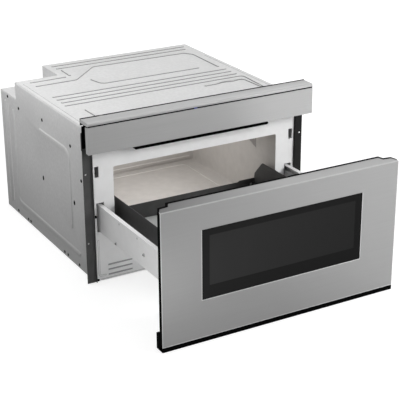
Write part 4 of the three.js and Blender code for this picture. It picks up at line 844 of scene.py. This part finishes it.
def make_fittings():
    frame_stops()
    side_hole_shades()
    rib_crest_highlights()
    bracket_details()
    screws = [placed(turned(PAN_HEAD), (x, -208.9, 130.5), (0, -1, 0)) for x in (-199, 199)]
    gathered("basket_screws", screws, "drawer", "plated_steel")
    louvres()
    oven_beads()
    control_unit_trim()
    gathered("door_gasket", [strip_gasket()], "drawer", "black_plastic", deep_black)
    body_lines()


# ---------------------------------------------------------------- floor, backdrop and lights

FLOOR_HALF = 7.0
FLOOR_DROP = 0.5 * MM
FLOOR_BOUNCE = 0.06
FLOOR_SEEN = 0.42
# The floor's glow grows from the first value to the second between two distances from the origin, in metres.
FLOOR_GLOW = (0.72, 0.92)
FLOOR_GLOW_REACH = (0.6, 2.6)
# In reflections the floor loses this share of its glow at the left, and the sky has these strengths.
FLOOR_DIMMED_LEFT = 0.6
SKY_LEFT = 0.20
SKY_RIGHT = 1.15
WORLD_LIGHT = 0.29


def rays_seen(shader):
    """1 for what the camera, reflections and glass see, 0 for light on the object."""
    path = shader.add("LightPath")
    mirrored = shader.math("MAXIMUM", path.outputs["Is Camera Ray"], path.outputs["Is Glossy Ray"])
    return shader.math("MAXIMUM", mirrored, path.outputs["Is Transmission Ray"])


def white_floor():
    """White to the camera, with the object's shadow; dimmer at the left in reflections, dark as a bounce."""
    shader = Shader("floor")
    seen = rays_seen(shader)
    away = shader.add("VectorMath", Vector=shader.place)
    away.operation = "LENGTH"
    glow = shader.span(away.outputs["Value"], *FLOOR_GLOW, *FLOOR_GLOW_REACH)
    forwards = shader.math("MAXIMUM", shader.math("MULTIPLY", shader.axis(shader.place, "Y"), -1.0), 0.3)
    bearing = shader.math("DIVIDE", shader.axis(shader.place, "X"), forwards)
    leftwards = shader.span(bearing, FLOOR_DIMMED_LEFT, 0.0, 0.05, 0.45)
    dimmed = shader.math("MULTIPLY", shader.add("LightPath").outputs["Is Glossy Ray"], leftwards)
    glow = shader.math("MULTIPLY", glow, shader.math("SUBTRACT", 1.0, dimmed))
    shader.set(
        Base_Color=shader.mixed(seen, grey(FLOOR_BOUNCE), grey(FLOOR_SEEN)),
        Roughness=1.0,
        Specular_IOR_Level=0.0,
        Emission_Color=(1, 1, 1, 1),
        Emission_Strength=shader.math("MULTIPLY", seen, glow),
    )
    return shader.material


def make_stage():
    mesh = bpy.data.meshes.new("floor")
    corners = [(x * FLOOR_HALF, y * FLOOR_HALF, 0) for x, y in ((-1, -1), (1, -1), (1, 1), (-1, 1))]
    mesh.from_pydata(corners, [], [(0, 1, 2, 3)])
    mesh.materials.append(white_floor())
    floor = link(bpy.data.objects.new("floor", mesh))
    floor.location.z = -FLOOR_DROP


def area_light(name, place, target, size, power, mirrored, spread_angle):
    data = bpy.data.lights.new(name, "AREA")
    data.shape = "RECTANGLE"
    data.size, data.size_y = size
    data.energy = power
    data.spread = math.radians(spread_angle)
    lamp = link(bpy.data.objects.new(name, data))
    lamp.location = place
    lamp.rotation_euler = (Vector(target) - Vector(place)).to_track_quat("-Z", "Y").to_euler()
    lamp.visible_camera = False
    lamp.visible_glossy = mirrored


def make_world():
    """White behind the object, a sky that darkens to the left in reflections, plain light on the object."""
    world = bpy.data.worlds.new("studio")
    world.use_nodes = True
    shader = NodeTree(world.node_tree, "Background", "Generated")
    path = shader.add("LightPath")
    seen = shader.math("MAXIMUM", path.outputs["Is Camera Ray"], path.outputs["Is Transmission Ray"])
    rise = shader.span(shader.axis(shader.place, "Z"), 0.0, 1.0, 0.0, 0.25)
    sideways = shader.span(shader.axis(shader.place, "X"), SKY_LEFT, SKY_RIGHT, 0.16, 0.58)
    darker = shader.math("MULTIPLY", rise, shader.math("SUBTRACT", 1.0, sideways))
    sky = shader.math("SUBTRACT", 1.0, darker)
    mirrored = shader.math("MULTIPLY", path.outputs["Is Glossy Ray"], sky)
    strength = shader.math("MAXIMUM", shader.math("MAXIMUM", seen, mirrored), WORLD_LIGHT)
    shader.set(Color=(1, 1, 1, 1), Strength=strength)
    bpy.context.scene.world = world


# As (name, place, target, size, watts, shows in reflections, spread in degrees).
LAMPS = [
    ("top_light", (-0.2, 0.1, 2.2), (-0.1, 0, 0), (1.6, 1.6), 12, True, 180),
    ("left_light", (-0.72, 0.1, 0.80), (-0.2, 0.1, 0.60), (0.9, 0.3), 3.9, False, 180),
    ("front_light", (1.15, -1.75, 1.05), (0, -0.4, 0.25), (1.0, 1.0), 30, False, 180),
    ("fill_light", (-0.6, -3.3, 0.6), (-0.1, -0.4, 0.2), (1.4, 1.0), 14, False, 180),
    ("bracket_light", (-0.46, -0.84, 0.20), (-0.265, -0.62, 0.15), (0.2, 0.15), 0.10, False, 60),
    ("low_light", (0, -0.50, 0.006), (0, -0.36, 0.2), (0.56, 0.2), 0.9, False, 180),
    ("rear_light", (1.9, 1.8, 1.0), (0, 0.1, 0.2), (1.4, 1.4), 30, False, 180),
    ("oven_light", (0, -0.05, 0.281), (0, -0.05, 0), (0.36, 0.30), 0.42, True, 180),
]


def make_light():
    make_world()
    for lamp in LAMPS:
        area_light(*lamp)


make_camera()
dress_nodes()
make_fittings()
make_stage()
make_light()

bpy.context.scene.view_settings.view_transform = "Standard"
